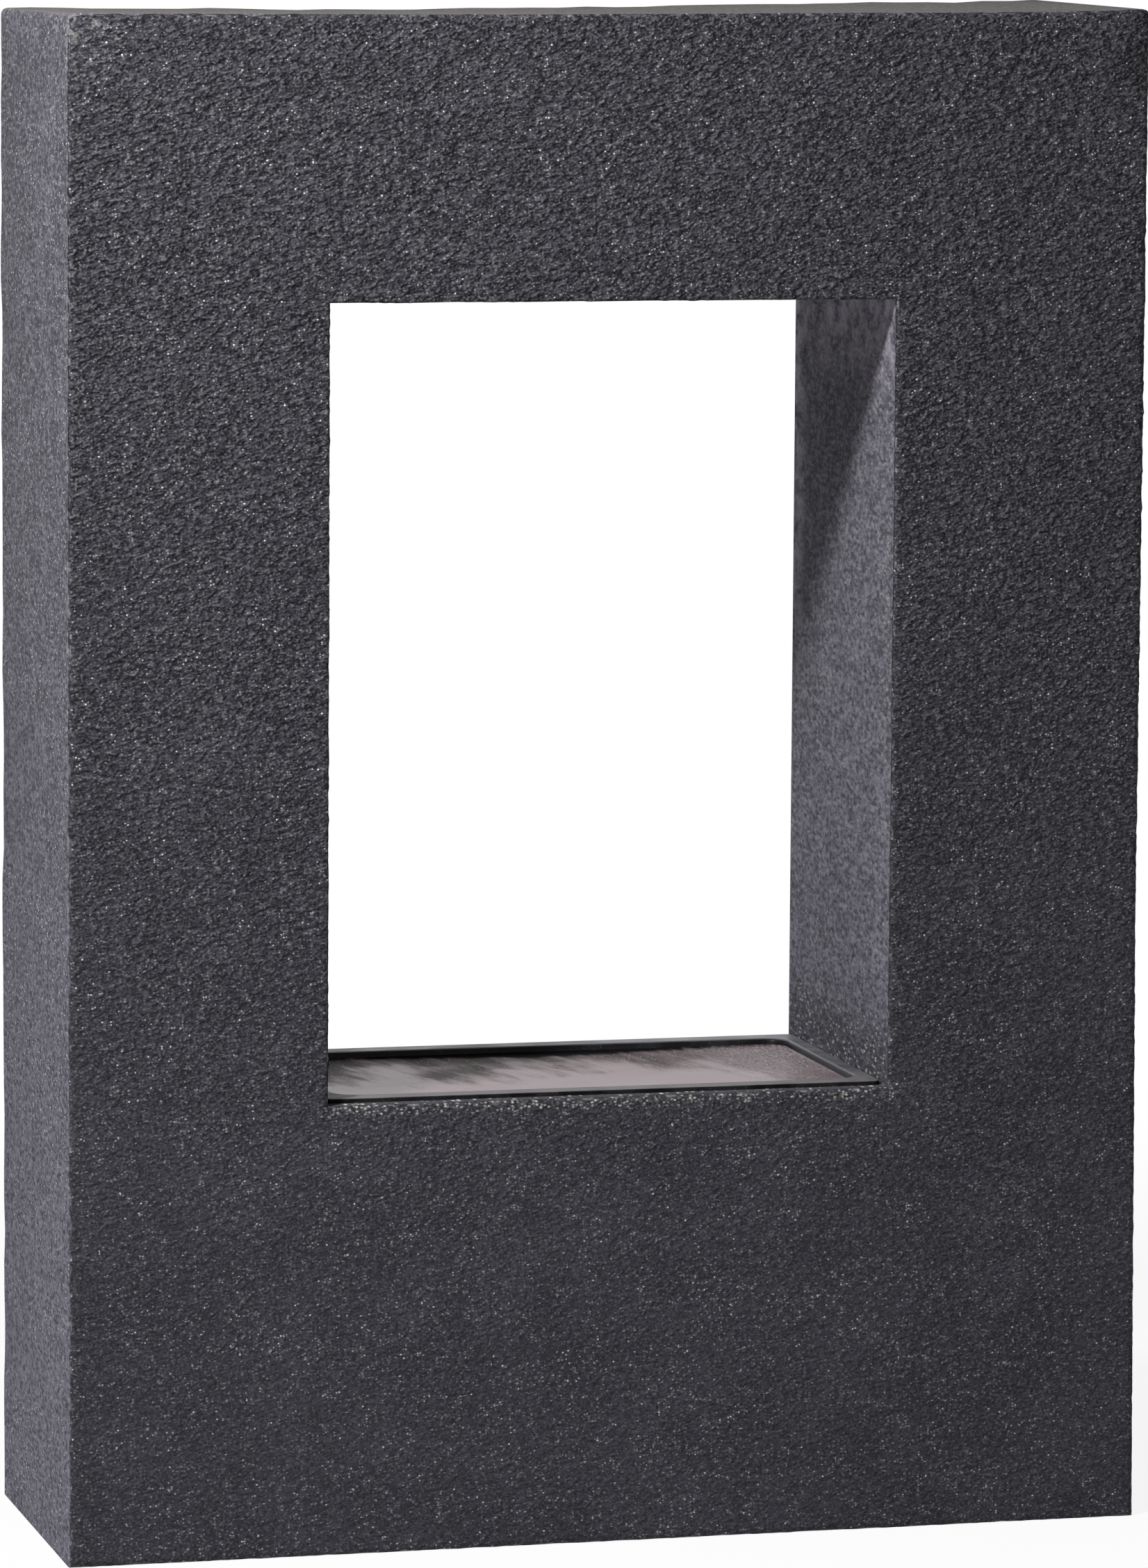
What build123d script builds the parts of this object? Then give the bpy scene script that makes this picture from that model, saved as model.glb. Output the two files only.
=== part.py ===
from build123d import *
import os
from math import atan, degrees

# Garden fountain: a hollow cast-stone window frame with a slab closing its back.
# A pump in the base drives water up one jamb to a spout in the lintel. The water falls
# through the window into a shallow tray on the sill and drains back into the base.
# Millimetres, +Z up, origin in the middle of the base, front face towards -Y.

# Stone frame, cast face down and open at the back
frame_width = 540.0
frame_depth = 180.0
frame_height = 750.0
window_width = 284.0
sill_height = 222.0
lintel_height = 138.0
cast_wall = 16.0
arris_radius = 3.0
window_corner_radius = 3.0
window_arris_radius = 2.0
cavity_corner_radius = 8.0
boss_radius = 12.0
boss_bite = 2.0
boss_rows = 4

# Back panel, let into a rebate and screwed to inserts in the bosses
panel_thickness = 15.0
ledge_width = 4.0
joint_gap = 0.6
panel_arris_radius = 1.0
insert_radius = 4.0
insert_length = 12.0
screw_radius = 2.0
screw_head_radius = 5.0
screw_length = 24.0
screw_tip_room = 2.0
thread_clearance = 0.1
fit_clearance = 0.05
panel_hole_clearance = 0.5

# Rubber grommet low on the back panel
grommet_bore_radius = 4.0
grommet_neck_radius = 10.0
grommet_flange_radius = 14.0
grommet_flange_thickness = 3.0
grommet_inset = 70.0
grommet_rise = 22.0

# Catch tray on the sill
tray_side_clearance = 1.0
flange_thickness = 2.2
flange_setback = 10.0
flange_end_width = 12.0
flange_side_width = 8.0
flange_corner_radius = 4.0
flange_edge_radius = 0.7
pan_depth = 14.0
pan_wall = 2.2
pan_lean = 4.0
pan_corner_radius = 8.0
pan_mouth_radius = 2.0
pan_floor_radius = 3.0
pan_hole_clearance = 1.5

# Overflow pipe that plugs into the tray and holds its water level
drain_radius = 7.0
drain_inset = 12.0
overflow_clearance = 0.15
overflow_wall = 1.8
overflow_collar_width = 2.5
overflow_collar_thickness = 1.5
overflow_freeboard = 3.5
overflow_spigot_length = 8.0
overflow_cap_thickness = 1.2
overflow_slot_width = 2.4
overflow_slot_height = 2.4
overflow_slot_pairs = 3

# Reservoir tub in the base
tub_wall = 3.0
tub_side_clearance = 5.0
tub_face_clearance = 2.0
tub_headroom = 40.0
tub_lip = 6.0
tub_lean = 8.0
tub_corner_radius = 14.0

# Submersible pump, its axis along X
pump_x = 100.0
pump_width = 46.0
pump_height = 44.0
pump_corner_radius = 8.0
motor_length = 44.0
motor_end_radius = 2.5
motor_groove_count = 4
motor_groove_width = 2.5
motor_groove_depth = 1.2
motor_groove_pitch = 8.0
volute_length = 18.0
volute_front_wall = 4.0
chamber_radius = 15.5
inlet_radius = 8.0
spider_arm_width = 2.0
spider_arms = 3
seal_section = 1.6
seal_inset = 2.0
spigot_radius = 7.0
spigot_height = 8.0
water_bore_radius = 4.4
cover_length = 16.0
cover_wall = 2.0
cover_slot_width = 2.2
cover_slot_pitch = 4.6
cover_slots_per_side = 3
cover_slot_height = 30.0
rotor_radius = 9.6
rotor_length = 28.0
rotor_gap = 0.6
rotor_end_gap = 1.0
impeller_radius = 13.5
impeller_disc = 2.0
impeller_hub_radius = 4.0
impeller_blade_height = 8.0
impeller_blade_thickness = 1.6
impeller_blades = 6
shaft_radius = 1.5
shaft_clearance = 0.05
bush_radius = 3.5
bush_length = 3.5
bush_rim = 1.5
dial_radius = 9.0
dial_thickness = 4.0
dial_grip_width = 3.0
dial_grip_height = 3.0
dial_stem_radius = 3.0
dial_clearance = 0.3
shutter_radius = 8.0
shutter_thickness = 1.5
foot_height = 7.0
foot_radius = 8.0
foot_neck_radius = 4.0
foot_hollow = 2.0
foot_inset = 10.0
gland_radius = 4.0
gland_collar_radius = 6.0
gland_collar_length = 3.0
gland_bore_radius = 2.6
gland_depth = 6.0
gland_rise = 12.0

# Riser hose, its tails, clamps and clips
hose_radius = 8.0
hose_bore_radius = 6.0
hose_wall_gap = 12.0
hose_rise = 45.0
hose_swing = 10.0
lower_bend_radius = 55.0
jamb_bend_radius = 70.0
upper_bend_radius = 50.0
tail_length = 22.0
tail_barb_height = 0.7
tail_barb_pitch = 5.0
tail_barbs = 3
tail_clearance = 0.05
tail_shoulder = 2.0
tail_socket_wall = 2.0
clamp_width = 9.0
clamp_thickness = 1.0
clamp_clearance = 0.1
clamp_ear_height = 6.0
clamp_ear_thickness = 1.2
clamp_ear_gap = 4.0
clamp_seat = 8.0
clip_width = 10.0
clip_ring_wall = 2.0
clip_mouth = 11.0
clip_stem_thickness = 4.0
clip_base_length = 26.0
clip_base_thickness = 3.0
clip_count = 2
clip_spacing = 200.0

# Spout in the lintel
spout_length = 190.0
spout_depth = 42.0
spout_height = 46.0
spout_sheet = 1.5
spout_flange = 13.0
spout_flange_corner = 3.0
neck_length = 176.0
neck_slot = 4.0
neck_clearance = 1.5
neck_recess = 0.5
gasket_thickness = 2.0
lid_skirt = 8.0
lid_clearance = 0.2
inlet_gap = 1.0
inlet_plate_radius = 11.0
inlet_plate_thickness = 2.0
baffle_height = 12.0
baffle_clearance = 0.3
baffle_hole_radius = 2.5
baffle_hole_pitch = 12.0
baffle_hole_columns = 13
baffle_hole_rows = 2
spout_screw_radius = 2.0
spout_screw_head_radius = 4.0
spout_screw_head_height = 2.4
spout_screw_depth = 10.0

# Planes and centres that the pieces share
half_width = frame_width / 2
front_y = -frame_depth / 2
back_y = frame_depth / 2
cavity_front_y = front_y + cast_wall
ledge_y = back_y - panel_thickness
frame_rim = cast_wall - ledge_width
window_half = window_width / 2
head_z = frame_height - lintel_height
window_height = head_z - sill_height
window_centre_z = sill_height + window_height / 2
tunnel_bottom_z = sill_height - cast_wall
tunnel_side_x = window_half + cast_wall
lintel_floor_z = head_z + cast_wall

boss_inset = boss_radius - boss_bite
boss_x = half_width - cast_wall - boss_inset
boss_first_z = cast_wall + boss_inset
boss_last_z = frame_height - cast_wall - boss_inset
boss_step_z = (boss_last_z - boss_first_z) / (boss_rows - 1)
boss_places = [
    (side * boss_x, boss_first_z + row * boss_step_z)
    for side in (-1, 1)
    for row in range(boss_rows)
]

flange_top_z = sill_height + flange_thickness
flange_half_x = window_half - tray_side_clearance
flange_half_y = frame_depth / 2 - flange_setback
mouth_half_x = flange_half_x - flange_side_width
mouth_half_y = flange_half_y - flange_end_width
pan_floor_z = flange_top_z - pan_depth
pan_angle = degrees(atan(pan_lean / pan_depth))
drain_x = -(mouth_half_x - pan_lean - drain_inset)
drain_y = mouth_half_y - pan_lean - drain_inset
water_level_z = flange_top_z - overflow_freeboard

tub_floor_z = cast_wall + tub_wall
tub_rim_z = tunnel_bottom_z - tub_headroom
tub_half_x = boss_x - boss_radius - tub_side_clearance - tub_lip
tub_centre_y = (cavity_front_y + ledge_y) / 2
tub_half_y = (ledge_y - cavity_front_y) / 2 - tub_face_clearance - tub_lip
tub_angle = degrees(atan(tub_lean / (tub_rim_z - cast_wall)))

grommet_x = -(half_width - grommet_inset)
grommet_z = tub_rim_z + grommet_rise

pump_y = tub_centre_y
pump_bottom_z = tub_floor_z + foot_height
pump_axis_z = pump_bottom_z + pump_height / 2
pump_top_z = pump_bottom_z + pump_height
motor_back_x = pump_x - motor_length
volute_front_x = pump_x + volute_length
cover_front_x = volute_front_x + cover_length
rotor_bore_depth = rotor_length + rotor_end_gap
chamber_depth = volute_length - volute_front_wall
seal_radius = chamber_radius + seal_inset
outlet_x = pump_x + chamber_depth / 2
tail_seat_z = pump_top_z + spigot_height + tail_shoulder
hose_x = tunnel_side_x + hose_wall_gap + hose_radius

spout_base_z = lintel_floor_z + gasket_thickness
spout_half_x = spout_length / 2
spout_half_y = spout_depth / 2
spout_top_z = spout_base_z + spout_height
neck_width = neck_slot + 2 * spout_sheet
spout_y = tub_centre_y
inlet_z = spout_top_z - lid_skirt - inlet_gap - inlet_plate_radius
inlet_seat_x = spout_half_x + inlet_plate_thickness
spout_screw_x = spout_half_x + spout_flange / 2
spout_screw_y = spout_half_y / 2
spout_screw_places = [(i * spout_screw_x, spout_y + j * spout_screw_y) for i in (-1, 1) for j in (-1, 1)]


def upright(sketch, y_from, y_to):
    """Extrude a sketch drawn in X and Z between two depths."""
    return extrude(Plane.XZ.offset(-y_from) * sketch, amount=y_from - y_to)


def level(sketch, z_from, z_to, taper=0.0):
    """Extrude a sketch drawn in X and Y upwards between two heights."""
    return extrude(Plane.XY.offset(z_from) * sketch, amount=z_to - z_from, taper=taper)


def crosswise(sketch, x_from, x_to):
    """Extrude a sketch drawn in Y and Z between two places along X."""
    return extrude(Plane.YZ.offset(x_from) * sketch, amount=x_to - x_from)


def turned(points):
    """Turn a closed outline of radius and height about the Z axis."""
    outline = make_face(Plane.XZ * Polyline(*points, close=True))
    return revolve(outline, Axis.Z)


def rounded_box(half_x, half_y, radius, centre_y=0.0):
    """Rounded rectangle in plan, given by its half sizes."""
    return Pos(0, centre_y) * RectangleRounded(2 * half_x, 2 * half_y, radius)


def frame_ring(wall_outside, wall_inside):
    """Ring between the frame's outside and the window, walls taken off both sides."""
    outside = RectangleRounded(
        frame_width - 2 * wall_outside, frame_height - 2 * wall_outside, cavity_corner_radius
    )
    inside = RectangleRounded(
        window_width + 2 * wall_inside, window_height + 2 * wall_inside, cavity_corner_radius
    )
    return Pos(0, frame_height / 2) * outside - Pos(0, window_centre_z) * inside


def make_stone_casting():
    """Front, sides, window tunnel, bosses and sill ledge, poured as one piece."""
    block = Box(frame_width, frame_depth, frame_height, align=(Align.CENTER, Align.CENTER, Align.MIN))
    block = fillet(block.edges(), arris_radius)
    window = Rectangle(window_width, window_height)
    window = fillet(window.vertices().group_by(Axis.Y)[-1], window_corner_radius)
    block -= upright(Pos(0, window_centre_z) * window, front_y, back_y)
    end_faces = block.faces().filter_by(Axis.Y).sort_by(Axis.Y)
    mouth_edges = end_faces[0].inner_wires().edges() + end_faces[-1].inner_wires().edges()
    block = fillet(mouth_edges, window_arris_radius)
    block -= upright(frame_ring(cast_wall, cast_wall), cavity_front_y, back_y)
    block -= upright(frame_ring(frame_rim, frame_rim), ledge_y, back_y)
    for x, z in boss_places:
        block += upright(Pos(x, z) * Circle(boss_radius), cavity_front_y, ledge_y)
    insert_hole_y = ledge_y - insert_length - screw_tip_room
    for x, z in boss_places:
        block -= upright(Pos(x, z) * Circle(insert_radius + fit_clearance), insert_hole_y, ledge_y)
    pan_margin = pan_wall + pan_hole_clearance
    access = rounded_box(
        mouth_half_x + pan_margin, mouth_half_y + pan_margin, pan_corner_radius + pan_lean + pan_margin
    )
    block -= level(access, tunnel_bottom_z, sill_height)
    slot = Rectangle(neck_length + 2 * neck_clearance, neck_width + 2 * neck_clearance)
    block -= level(Pos(0, spout_y) * slot, head_z, lintel_floor_z)
    for x, y in spout_screw_places:
        pilot = Pos(x, y) * Circle(spout_screw_radius + fit_clearance)
        block -= level(pilot, lintel_floor_z - spout_screw_depth, lintel_floor_z)
    return block


def make_back_panel():
    """Slab that drops into the rebate, with countersunk holes and the grommet's hole."""
    wall = frame_rim + joint_gap
    panel = upright(frame_ring(wall, wall), ledge_y, back_y)
    rear = panel.faces().sort_by(Axis.Y)[-1]
    panel = fillet(rear.edges(), panel_arris_radius)
    hole = screw_radius + panel_hole_clearance
    sink = screw_head_radius + panel_hole_clearance
    cutter = turned(
        [
            (0, 0),
            (sink, 0),
            (hole, sink - hole),
            (hole, panel_thickness),
            (0, panel_thickness),
        ]
    )
    for x, z in boss_places:
        panel -= Pos(x, back_y, z) * Rot(X=90) * cutter
    grommet_place = Pos(grommet_x, grommet_z)
    panel -= upright(grommet_place * Circle(grommet_neck_radius + fit_clearance), ledge_y, back_y)
    recess = Circle(grommet_flange_radius + fit_clearance)
    panel -= upright(grommet_place * recess, back_y - grommet_flange_thickness, back_y)
    return panel


def make_panel_inserts():
    """Brass inserts moulded into the bosses."""
    ring = Circle(insert_radius) - Circle(screw_radius + thread_clearance)
    return Part() + [upright(Pos(x, z) * ring, ledge_y - insert_length, ledge_y) for x, z in boss_places]


def make_panel_screws():
    """Countersunk screws, their heads flush with the back."""
    head_depth = screw_head_radius - screw_radius
    screw = turned(
        [
            (0, 0),
            (screw_head_radius, 0),
            (screw_radius, head_depth),
            (screw_radius, screw_length),
            (0, screw_length),
        ]
    )
    return Part() + [Pos(x, back_y, z) * Rot(X=90) * screw for x, z in boss_places]


def make_cable_grommet():
    """Rubber bush with a flange on each side of the panel, flush at the back."""
    neck_length_y = panel_thickness - grommet_flange_thickness
    inner_end = panel_thickness + grommet_flange_thickness
    profile = [
        (grommet_bore_radius, 0),
        (grommet_flange_radius, 0),
        (grommet_flange_radius, grommet_flange_thickness),
        (grommet_neck_radius, grommet_flange_thickness),
        (grommet_neck_radius, grommet_flange_thickness + neck_length_y),
        (grommet_flange_radius, grommet_flange_thickness + neck_length_y),
        (grommet_flange_radius, inner_end),
        (grommet_bore_radius, inner_end),
    ]
    return Pos(grommet_x, back_y, grommet_z) * Rot(X=90) * turned(profile)


def make_catch_tray():
    """Moulded pan with leaning walls, hung by its flange on the sill."""
    floor_half_x = mouth_half_x - pan_lean
    floor_half_y = mouth_half_y - pan_lean
    flange = rounded_box(flange_half_x, flange_half_y, flange_corner_radius)
    outer_floor = rounded_box(floor_half_x + pan_wall, floor_half_y + pan_wall, pan_corner_radius + pan_wall)
    inner_floor = rounded_box(floor_half_x, floor_half_y, pan_corner_radius)
    tray = level(flange, sill_height, flange_top_z)
    tray += level(outer_floor, pan_floor_z - pan_wall, flange_top_z - pan_wall, -pan_angle)
    tray -= level(inner_floor, pan_floor_z, flange_top_z, -pan_angle)
    top = tray.faces().filter_by(Axis.Z).sort_by(Axis.Z)[-1]
    tray = fillet(top.inner_wires().edges(), pan_mouth_radius)
    top = tray.faces().filter_by(Axis.Z).sort_by(Axis.Z)[-1]
    tray = fillet(top.outer_wire().edges(), flange_edge_radius)
    floor = tray.faces().filter_by(Axis.Z).filter_by_position(Axis.Z, pan_floor_z, pan_floor_z)
    tray = fillet(floor[0].outer_wire().edges(), pan_floor_radius)
    tray -= level(Pos(drain_x, drain_y) * Circle(drain_radius), pan_floor_z - pan_wall, pan_floor_z)
    return tray


def make_overflow_pipe():
    """Push-in pipe with a slotted crown, its slots setting the water level."""
    spigot = drain_radius - overflow_clearance
    bore = spigot - overflow_wall
    collar = drain_radius + overflow_collar_width
    slot_floor_z = water_level_z - pan_floor_z
    crown_top = slot_floor_z + overflow_slot_height
    top = crown_top + overflow_cap_thickness
    pipe = turned(
        [
            (bore, -overflow_spigot_length),
            (spigot, -overflow_spigot_length),
            (spigot, 0),
            (collar, 0),
            (collar, overflow_collar_thickness),
            (spigot, overflow_collar_thickness),
            (spigot, top - overflow_cap_thickness / 2),
            (spigot - overflow_cap_thickness / 2, top),
            (0, top),
            (0, crown_top),
            (bore, crown_top),
        ]
    )
    for i in range(overflow_slot_pairs):
        cutter = level(Rectangle(2 * collar, overflow_slot_width), slot_floor_z, crown_top)
        pipe -= Rot(Z=i * 180 / overflow_slot_pairs) * cutter
    return Pos(drain_x, drain_y, pan_floor_z) * pipe


def make_reservoir_tub():
    """Tapered plastic tub with a turned-out lip, standing on the casting's floor."""
    foot_x = tub_half_x - tub_lean
    foot_y = tub_half_y - tub_lean
    lean_at_floor = tub_lean * tub_wall / (tub_rim_z - cast_wall)
    outside = rounded_box(foot_x, foot_y, tub_corner_radius, tub_centre_y)
    inside = rounded_box(
        foot_x + lean_at_floor - tub_wall,
        foot_y + lean_at_floor - tub_wall,
        tub_corner_radius + lean_at_floor - tub_wall,
        tub_centre_y,
    )
    lip_corner = tub_corner_radius + tub_lean + tub_lip
    lip = rounded_box(tub_half_x + tub_lip, tub_half_y + tub_lip, lip_corner, tub_centre_y)
    tub = level(outside, cast_wall, tub_rim_z, -tub_angle)
    tub += level(lip, tub_rim_z - tub_wall, tub_rim_z)
    tub -= level(inside, tub_floor_z, tub_rim_z, -tub_angle)
    return tub


def pump_outline(inset=0.0):
    """Rounded section of the pump's housing, square to its axis."""
    section = RectangleRounded(pump_width - 2 * inset, pump_height - 2 * inset, pump_corner_radius - inset)
    return Pos(pump_y, pump_axis_z) * section


def pump_ring(radius):
    """Circle about the pump's axis."""
    return Pos(pump_y, pump_axis_z) * Circle(radius)


def make_pump_motor():
    """Sealed stator block with the rotor's well and shallow grooves round its back."""
    motor = crosswise(pump_outline(), motor_back_x, pump_x)
    motor = fillet(motor.faces().sort_by(Axis.X)[0].edges(), motor_end_radius)
    for i in range(motor_groove_count):
        groove_x = motor_back_x + (i + 1) * motor_groove_pitch
        band = pump_outline() - pump_outline(motor_groove_depth)
        motor -= crosswise(band, groove_x, groove_x + motor_groove_width)
    well_x = pump_x - rotor_bore_depth
    motor -= crosswise(pump_ring(rotor_radius + rotor_gap), well_x, pump_x)
    motor -= crosswise(pump_ring(bush_radius + fit_clearance), well_x - bush_length, well_x)
    gland = Pos(pump_y, pump_axis_z + gland_rise) * Circle(gland_radius + fit_clearance)
    motor -= crosswise(gland, motor_back_x, motor_back_x + gland_depth)
    return motor


def make_pump_volute():
    """Impeller chamber with the outlet spigot on top and the inlet's spider in front."""
    volute = crosswise(pump_outline(), pump_x, volute_front_x)
    spigot = Pos(outlet_x, pump_y) * Circle(spigot_radius)
    volute += level(spigot, pump_axis_z + chamber_radius, pump_top_z + spigot_height)
    chamber_end = pump_x + chamber_depth
    volute -= crosswise(pump_ring(chamber_radius), pump_x, chamber_end)
    groove = pump_ring(seal_radius + seal_section + fit_clearance) - pump_ring(seal_radius - fit_clearance)
    volute -= crosswise(groove, pump_x, pump_x + seal_section)
    water_way = Pos(outlet_x, pump_y) * Circle(water_bore_radius)
    volute -= level(water_way, pump_axis_z, pump_top_z + spigot_height)
    volute -= crosswise(pump_ring(inlet_radius), chamber_end, volute_front_x)
    hub = pump_ring(bush_radius + bush_rim)
    for i in range(spider_arms):
        arm = Rot(Z=i * 360 / spider_arms) * Pos(inlet_radius / 2, 0) * Rectangle(
            inlet_radius + bush_rim, spider_arm_width
        )
        hub += Pos(pump_y, pump_axis_z) * arm
    spider = crosswise(hub, chamber_end, volute_front_x)
    spider -= crosswise(pump_ring(bush_radius + fit_clearance), chamber_end, chamber_end + bush_length)
    return volute + spider


def make_pump_cover():
    """Slotted intake cover over the inlet, with the dial's hole in the middle."""
    cover = crosswise(pump_outline(), volute_front_x, cover_front_x)
    cover = fillet(cover.faces().sort_by(Axis.X)[-1].edges(), cover_wall)
    cover -= crosswise(pump_outline(cover_wall), volute_front_x, cover_front_x - cover_wall)
    cover -= crosswise(pump_ring(dial_stem_radius + dial_clearance), volute_front_x, cover_front_x)
    first_slot = dial_radius + cover_slot_width / 2
    for side in (-1, 1):
        for i in range(cover_slots_per_side):
            slot_y = pump_y + side * (first_slot + i * cover_slot_pitch / 2)
            slot_height = cover_slot_height - i * cover_slot_pitch
            slot = Pos(slot_y, pump_axis_z) * Rectangle(cover_slot_width / 2, slot_height)
            cover -= crosswise(slot, cover_front_x - cover_wall, cover_front_x)
    for i in range(cover_slots_per_side):
        slot_x = volute_front_x + (i + 0.5) * cover_slot_pitch
        side_slot = Rectangle(cover_slot_width, cover_slot_height)
        side_slot = Pos(slot_x + cover_slot_width / 2, pump_axis_z) * side_slot
        cover -= upright(side_slot, pump_y - pump_width / 2, pump_y + pump_width / 2)
    return cover


def make_chamber_seal():
    """Square-section rubber ring between the motor and the volute."""
    ring = pump_ring(seal_radius + seal_section) - pump_ring(seal_radius)
    return crosswise(ring, pump_x, pump_x + seal_section)


def make_rotor_magnet():
    """Ferrite magnet that turns in the motor's well."""
    ring = pump_ring(rotor_radius) - pump_ring(shaft_radius + shaft_clearance)
    return crosswise(ring, pump_x - rotor_length, pump_x)


def make_impeller():
    """Open impeller with straight blades, carried on the magnet's end."""
    bore = pump_ring(shaft_radius + shaft_clearance)
    disc = crosswise(pump_ring(impeller_radius) - bore, pump_x, pump_x + impeller_disc)
    blade_end = pump_x + impeller_disc + impeller_blade_height
    hub = crosswise(pump_ring(impeller_hub_radius) - bore, pump_x, blade_end)
    blade_span = impeller_radius - impeller_hub_radius / 2
    blades = []
    for i in range(impeller_blades):
        blade = Pos((impeller_radius + impeller_hub_radius / 2) / 2, 0) * Rectangle(
            blade_span, impeller_blade_thickness
        )
        turned_blade = Pos(pump_y, pump_axis_z) * Rot(Z=i * 360 / impeller_blades) * blade
        blades.append(crosswise(turned_blade & pump_ring(impeller_radius), pump_x, blade_end))
    wheel = disc + hub + blades
    return wheel - crosswise(bore, pump_x, blade_end)


def make_rotor_shaft():
    """Fixed ceramic pin that the rotor turns on, held in a bush at each end."""
    start = pump_x - rotor_bore_depth - bush_length
    return crosswise(pump_ring(shaft_radius), start, pump_x + chamber_depth + bush_length)


def make_shaft_bushes():
    """Rubber bushes in the motor's well and in the spider."""
    ring = pump_ring(bush_radius) - pump_ring(shaft_radius + fit_clearance)
    well_x = pump_x - rotor_bore_depth
    spider_x = pump_x + chamber_depth
    rear = crosswise(ring, well_x - bush_length, well_x)
    front = crosswise(ring, spider_x, spider_x + bush_length)
    return Part() + [rear, front]


def make_flow_dial():
    """Knob on the cover, with a half-round shutter behind it in front of the inlet."""
    stem_start = volute_front_x + dial_clearance
    knob_start = cover_front_x + dial_clearance
    knob_end = knob_start + dial_thickness
    half_disc = pump_ring(shutter_radius) & Pos(pump_y, pump_axis_z + shutter_radius / 2) * Rectangle(
        2 * shutter_radius, shutter_radius
    )
    dial = crosswise(pump_ring(dial_stem_radius), stem_start, knob_end)
    dial += crosswise(half_disc, stem_start, stem_start + shutter_thickness)
    dial += crosswise(pump_ring(dial_radius), knob_start, knob_end)
    grip = Pos(pump_y, pump_axis_z) * Rectangle(dial_grip_width, 2 * dial_radius) & pump_ring(dial_radius)
    dial += crosswise(grip, knob_end, knob_end + dial_grip_height)
    return dial


def make_suction_feet():
    """Four rubber suckers under the pump."""
    cup = turned(
        [
            (0, foot_hollow),
            (foot_radius - foot_hollow, 0),
            (foot_radius, 0),
            (foot_neck_radius, foot_height / 2),
            (foot_neck_radius, foot_height),
            (0, foot_height),
        ]
    )
    rear_x = motor_back_x + foot_inset
    front_x = cover_front_x - foot_inset
    side_y = pump_width / 2 - foot_inset
    places = [(x, pump_y + side * side_y) for x in (rear_x, front_x) for side in (-1, 1)]
    return Part() + [Pos(x, y, tub_floor_z) * cup for x, y in places]


def make_pump_gland():
    """Moulded gland where the supply lead enters the motor."""
    inside = motor_back_x + gland_depth
    outside = motor_back_x - gland_collar_length
    centre = Pos(pump_y, pump_axis_z + gland_rise)
    gland = crosswise(centre * Circle(gland_radius), motor_back_x, inside)
    gland += crosswise(centre * Circle(gland_collar_radius), outside, motor_back_x)
    return gland - crosswise(centre * Circle(gland_bore_radius), outside, inside)


def hose_tail():
    """Ridged tail that a hose slips over, its shoulder at height zero."""
    ridge = hose_bore_radius - tail_clearance
    root = ridge - tail_barb_height
    outline = [(water_bore_radius, 0), (root, 0)]
    for i in range(tail_barbs):
        start = (i + 1) * tail_barb_pitch
        outline += [(root, start), (ridge, start), (root, start + tail_barb_pitch / 2)]
    outline += [(root, tail_length), (water_bore_radius, tail_length)]
    return turned(outline)


def make_outlet_tail():
    """Socket on the pump's spigot with a hose tail above it."""
    socket_bore = spigot_radius + fit_clearance
    socket_outside = socket_bore + tail_socket_wall
    socket = turned(
        [
            (socket_bore, pump_top_z),
            (socket_outside, pump_top_z),
            (socket_outside, tail_seat_z),
            (water_bore_radius, tail_seat_z),
            (water_bore_radius, tail_seat_z - tail_shoulder),
            (socket_bore, tail_seat_z - tail_shoulder),
        ]
    )
    return Pos(outlet_x, pump_y, 0) * (socket + Pos(0, 0, tail_seat_z) * hose_tail())


def make_riser_hose():
    """Hose from the pump, past the window's corner, up the jamb and across to the spout."""
    route = [
        (outlet_x, pump_y, tail_seat_z),
        (outlet_x, pump_y, tail_seat_z + hose_rise),
        (hose_x, pump_y, tunnel_bottom_z + hose_swing),
        (hose_x, pump_y, inlet_z),
        (inlet_seat_x, pump_y, inlet_z),
    ]
    path = FilletPolyline(*route, radius=[lower_bend_radius, jamb_bend_radius, upper_bend_radius])
    section = Circle(hose_radius) - Circle(hose_bore_radius)
    hose = sweep(Plane(origin=route[0], z_dir=(0, 0, 1)) * section, path=path)
    print("hose volume over section times length", round(hose.volume / (section.area * path.length), 5))
    return hose


def hose_clamp():
    """Spring band round the Z axis with two ears to squeeze."""
    inside = hose_radius + clamp_clearance
    outside = inside + clamp_thickness
    band = level(Circle(outside) - Circle(inside), -clamp_width / 2, clamp_width / 2)
    for side in (-1, 1):
        ear_centre = side * (clamp_ear_gap + clamp_ear_thickness) / 2
        ear = Pos(ear_centre, outside + clamp_ear_height / 2 - clamp_thickness) * Rectangle(
            clamp_ear_thickness, clamp_ear_height + clamp_thickness
        )
        band += level(ear - Circle(inside), -clamp_width / 2, clamp_width / 2)
    return band


def make_lower_hose_clamp():
    """Clamp on the pump's tail."""
    return Pos(outlet_x, pump_y, tail_seat_z + clamp_seat) * hose_clamp()


def make_upper_hose_clamp():
    """Clamp on the spout's tail."""
    return Pos(inlet_seat_x + clamp_seat, pump_y, inlet_z) * Rot(Y=90) * hose_clamp()


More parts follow.
